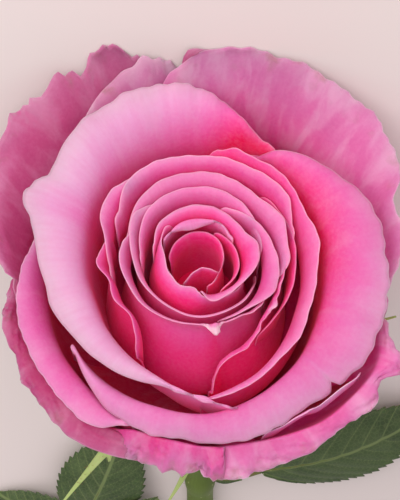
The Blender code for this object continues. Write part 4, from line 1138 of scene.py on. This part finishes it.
def build_cut_end():
    """The stem's cut face: a shallow dish with rings of pith and wood."""
    share = np.linspace(0.0, 1.0, 9)[1:]
    round_it = np.linspace(0.0, 2 * np.pi, STEM_SIDES, endpoint=False)
    across, up = polar(round_it, (share * (STEM_RADIUS - BARK_THICK))[:, None])
    dish = (0.16 - 0.3 * (1 - share**2))[:, None] + 0 * across
    disc = np.stack([across, dish, up], axis=2).reshape(-1, 3)
    points = np.concatenate([disc, [[0.0, -0.14, 0.0], [0.0, -0.6, 0.0]]]) + np.array(stem_at(stem_length()))
    faces, index = ring_faces(len(share), STEM_SIDES)
    for ring, centre in ((index[0], len(disc)), (index[-1][::-1], len(disc) + 1)):
        faces += [(a, b, centre) for a, b in zip(ring, ring[1:] + ring[:1])]
    mesh = new_mesh("stem_cut_end", points, [face[::-1] for face in faces])
    paint(mesh, "ring", np.concatenate([np.repeat(share, STEM_SIDES), [0.0, 1.0]]))
    face = graded_material("cut stem, pith and wood", "ring", CUT_STOPS, 0.6)
    add_piece("stem_cut_end", mesh, face, "stem")


def build_prickles(prickles):
    """Hooked prickles on the stem's skin. Each points away from the stem and hooks down it."""
    rows = []
    for distance, bearing in PRICKLES:
        ahead = (stem_at(distance + 1) - stem_at(distance)).normalized()
        rise = Vector((1, 0, 0)).cross(ahead).normalized()
        turn = math.radians(bearing)
        out = Vector((1, 0, 0)) * math.sin(turn) + rise * math.cos(turn)
        rows.append((stem_at(distance) + out * STEM_RADIUS, out, ahead))
    spots, outs, downs = zip(*rows)
    seats = new_mesh("prickle_seats", spots)
    paint(seats, "out", outs)
    paint(seats, "down", downs)
    horn = graded_material("prickle, horny", "tip", PRICKLE_STOPS, 0.4)
    add_piece("stem_prickles", grown("stem_prickles", seats, prickles, horn), None, "stem")


def build_leaf(name, leaf, shoots, skin, stalk_skin):
    """One leaf: its stalk and veins as swept shoots, its leaflets as quilted blades."""
    start = np.array(stem_at(leaf["node"]))
    stalk = [np.array(point) + np.array(ROSE_AT) for point in leaf["stalk"]]
    way = stalk[0] - start
    way /= np.linalg.norm(way)
    start = start + way * (STEM_RADIUS - STALK_SINK)
    path = rounded([start, *stalk], 10 * len(stalk) + 1)
    radii = np.linspace(PETIOLE_RADIUS, PETIOLE_RADIUS * 0.75, len(path))
    radii += 0.9 * hump(np.linspace(0.0, len(stalk), len(path)), 0.0, 0.16)
    paths, blades = [(path, radii)], []
    for k, *shape in leaf["leaflets"]:
        mesh, veins = leaflet(stalk[k], *shape)
        blades.append(mesh)
        paths += veins
    blades += [stipule(start + way * 0.8, way, turn) for turn in (-1, 1)]
    add_piece(name + "_blades", joined(name, blades), skin, name)
    stalks = grown(name + "_stalks", paths_mesh(name, paths), shoots, stalk_skin, Sides=8)
    add_piece(name + "_stalks", stalks, None, name)


def build_camera():
    """Looks down into the bloom, with the stem away from it, as the photograph does."""
    heart = (Vector((0.0, -HEART_FORWARD, HEART_ABOVE_TABLE)) + ROSE_AT) * MM
    back = Vector((0.0, -math.cos(CAMERA_DOWN), math.sin(CAMERA_DOWN)))
    up = Vector((0.0, -math.sin(CAMERA_DOWN), -math.cos(CAMERA_DOWN)))
    camera = placed("camera", bpy.data.cameras.new("camera"))
    turn = Matrix((up.cross(back), up, back)).transposed().to_4x4()
    camera.matrix_world = Matrix.Translation(heart + back * CAMERA_BACK) @ turn
    camera.data.sensor_fit = "VERTICAL"
    camera.data.sensor_height = SENSOR
    camera.data.lens = LENS
    camera.data.shift_y = SHIFT_UP
    bpy.context.scene.camera = camera
    bpy.context.scene.view_settings.view_transform = "Standard"
    return heart


def build_studio(heart):
    """Two soft boxes that face the bloom's heart, a pale sky and a pale floor."""
    for name, (way, distance, size, power, colour) in LIGHTS.items():
        lamp = bpy.data.lights.new(name, "AREA")
        lamp.shape, lamp.size, lamp.energy, lamp.color = "DISK", size, power, linear(colour)[:3]
        light = placed(name, lamp)
        light.location = heart + Vector(way).normalized() * distance
        light.rotation_euler = (heart - light.location).to_track_quat("-Z", "Y").to_euler()
    world = bpy.data.worlds.new("studio")
    bpy.context.scene.world = world
    world.use_nodes = True
    background = world.node_tree.nodes["Background"]
    background.inputs["Color"].default_value = linear(SKY[0])
    background.inputs["Strength"].default_value = SKY[1]
    mesh = bpy.data.meshes.new("floor")
    corners = [(-FLOOR_REACH, -FLOOR_REACH, 0), (FLOOR_REACH, -FLOOR_REACH, 0)]
    corners += [(FLOOR_REACH, FLOOR_REACH, 0), (-FLOOR_REACH, FLOOR_REACH, 0)]
    mesh.from_pydata(corners, [], [(0, 1, 2, 3)])
    floor = placed("floor", mesh)
    mesh.materials.append(new_material("floor, matt paint", Base_Color=linear("#E4DAD8"), Roughness=0.85)[0])


def build_bloom():
    """Every petal, on the core. The guard petals that lie away from the light are painted darker than the
    rest, as painted shade.
    """
    inner = petal_material("rose petal, inner", INNER_STOPS, "#E62070", "#FCC8E0", None, 0.07)
    outer = petal_material("rose petal, outer", OUTER_STOPS, "#E44C90", "#F9D2E6", None, 0.09)
    guard = petal_material("rose petal, guard", GUARD_STOPS, "#C63C84", "#F6C6E0", "#A06A5C", 0.3)
    shaded_guard = petal_material("rose petal, guard in painted shade", SHADED_GUARD_STOPS, "#A02C66", "#E0A4C0", "#8E4A4C", 0.25)
    build_receptacle()
    for seed, (name, petal) in enumerate(HEART_PETALS.items()):
        settings = {**HEART_PETAL, "seed": 100 + seed, **petal}
        build_petal("petal_" + name, settings, inner, "bloom_heart")
    for seed, (name, petal) in enumerate(OUTER_PETALS.items()):
        cup = name.startswith("cup")
        settings = {**(CUP_PETAL if cup else GUARD_PETAL), "seed": 200 + seed, **petal}
        # the guard petals away from the light take the darker material, in painted shade
        skin = outer if cup else shaded_guard if name in SHADED_GUARD_PETALS else guard
        node = TIP_PETALS.get(name, name)
        build_petal("petal_" + name.replace("_petal", ""), settings, skin, node)


def main():
    build_studio(build_camera())
    build_bloom()
    shoots = shoot_tree()
    build_calyx(hair_tree())
    build_bark(shoots)
    build_cut_end()
    build_prickles(prickle_tree())
    leaf = leaf_material("rose leaf", LEAF_TOP, LEAF_UNDER, "#7C8C58")
    stalk = stem_material("leaf stalk, green", STEM_STOPS, "#7A4A34")
    for name, rows in LEAVES.items():
        build_leaf(name, rows, shoots, leaf, stalk)


main()
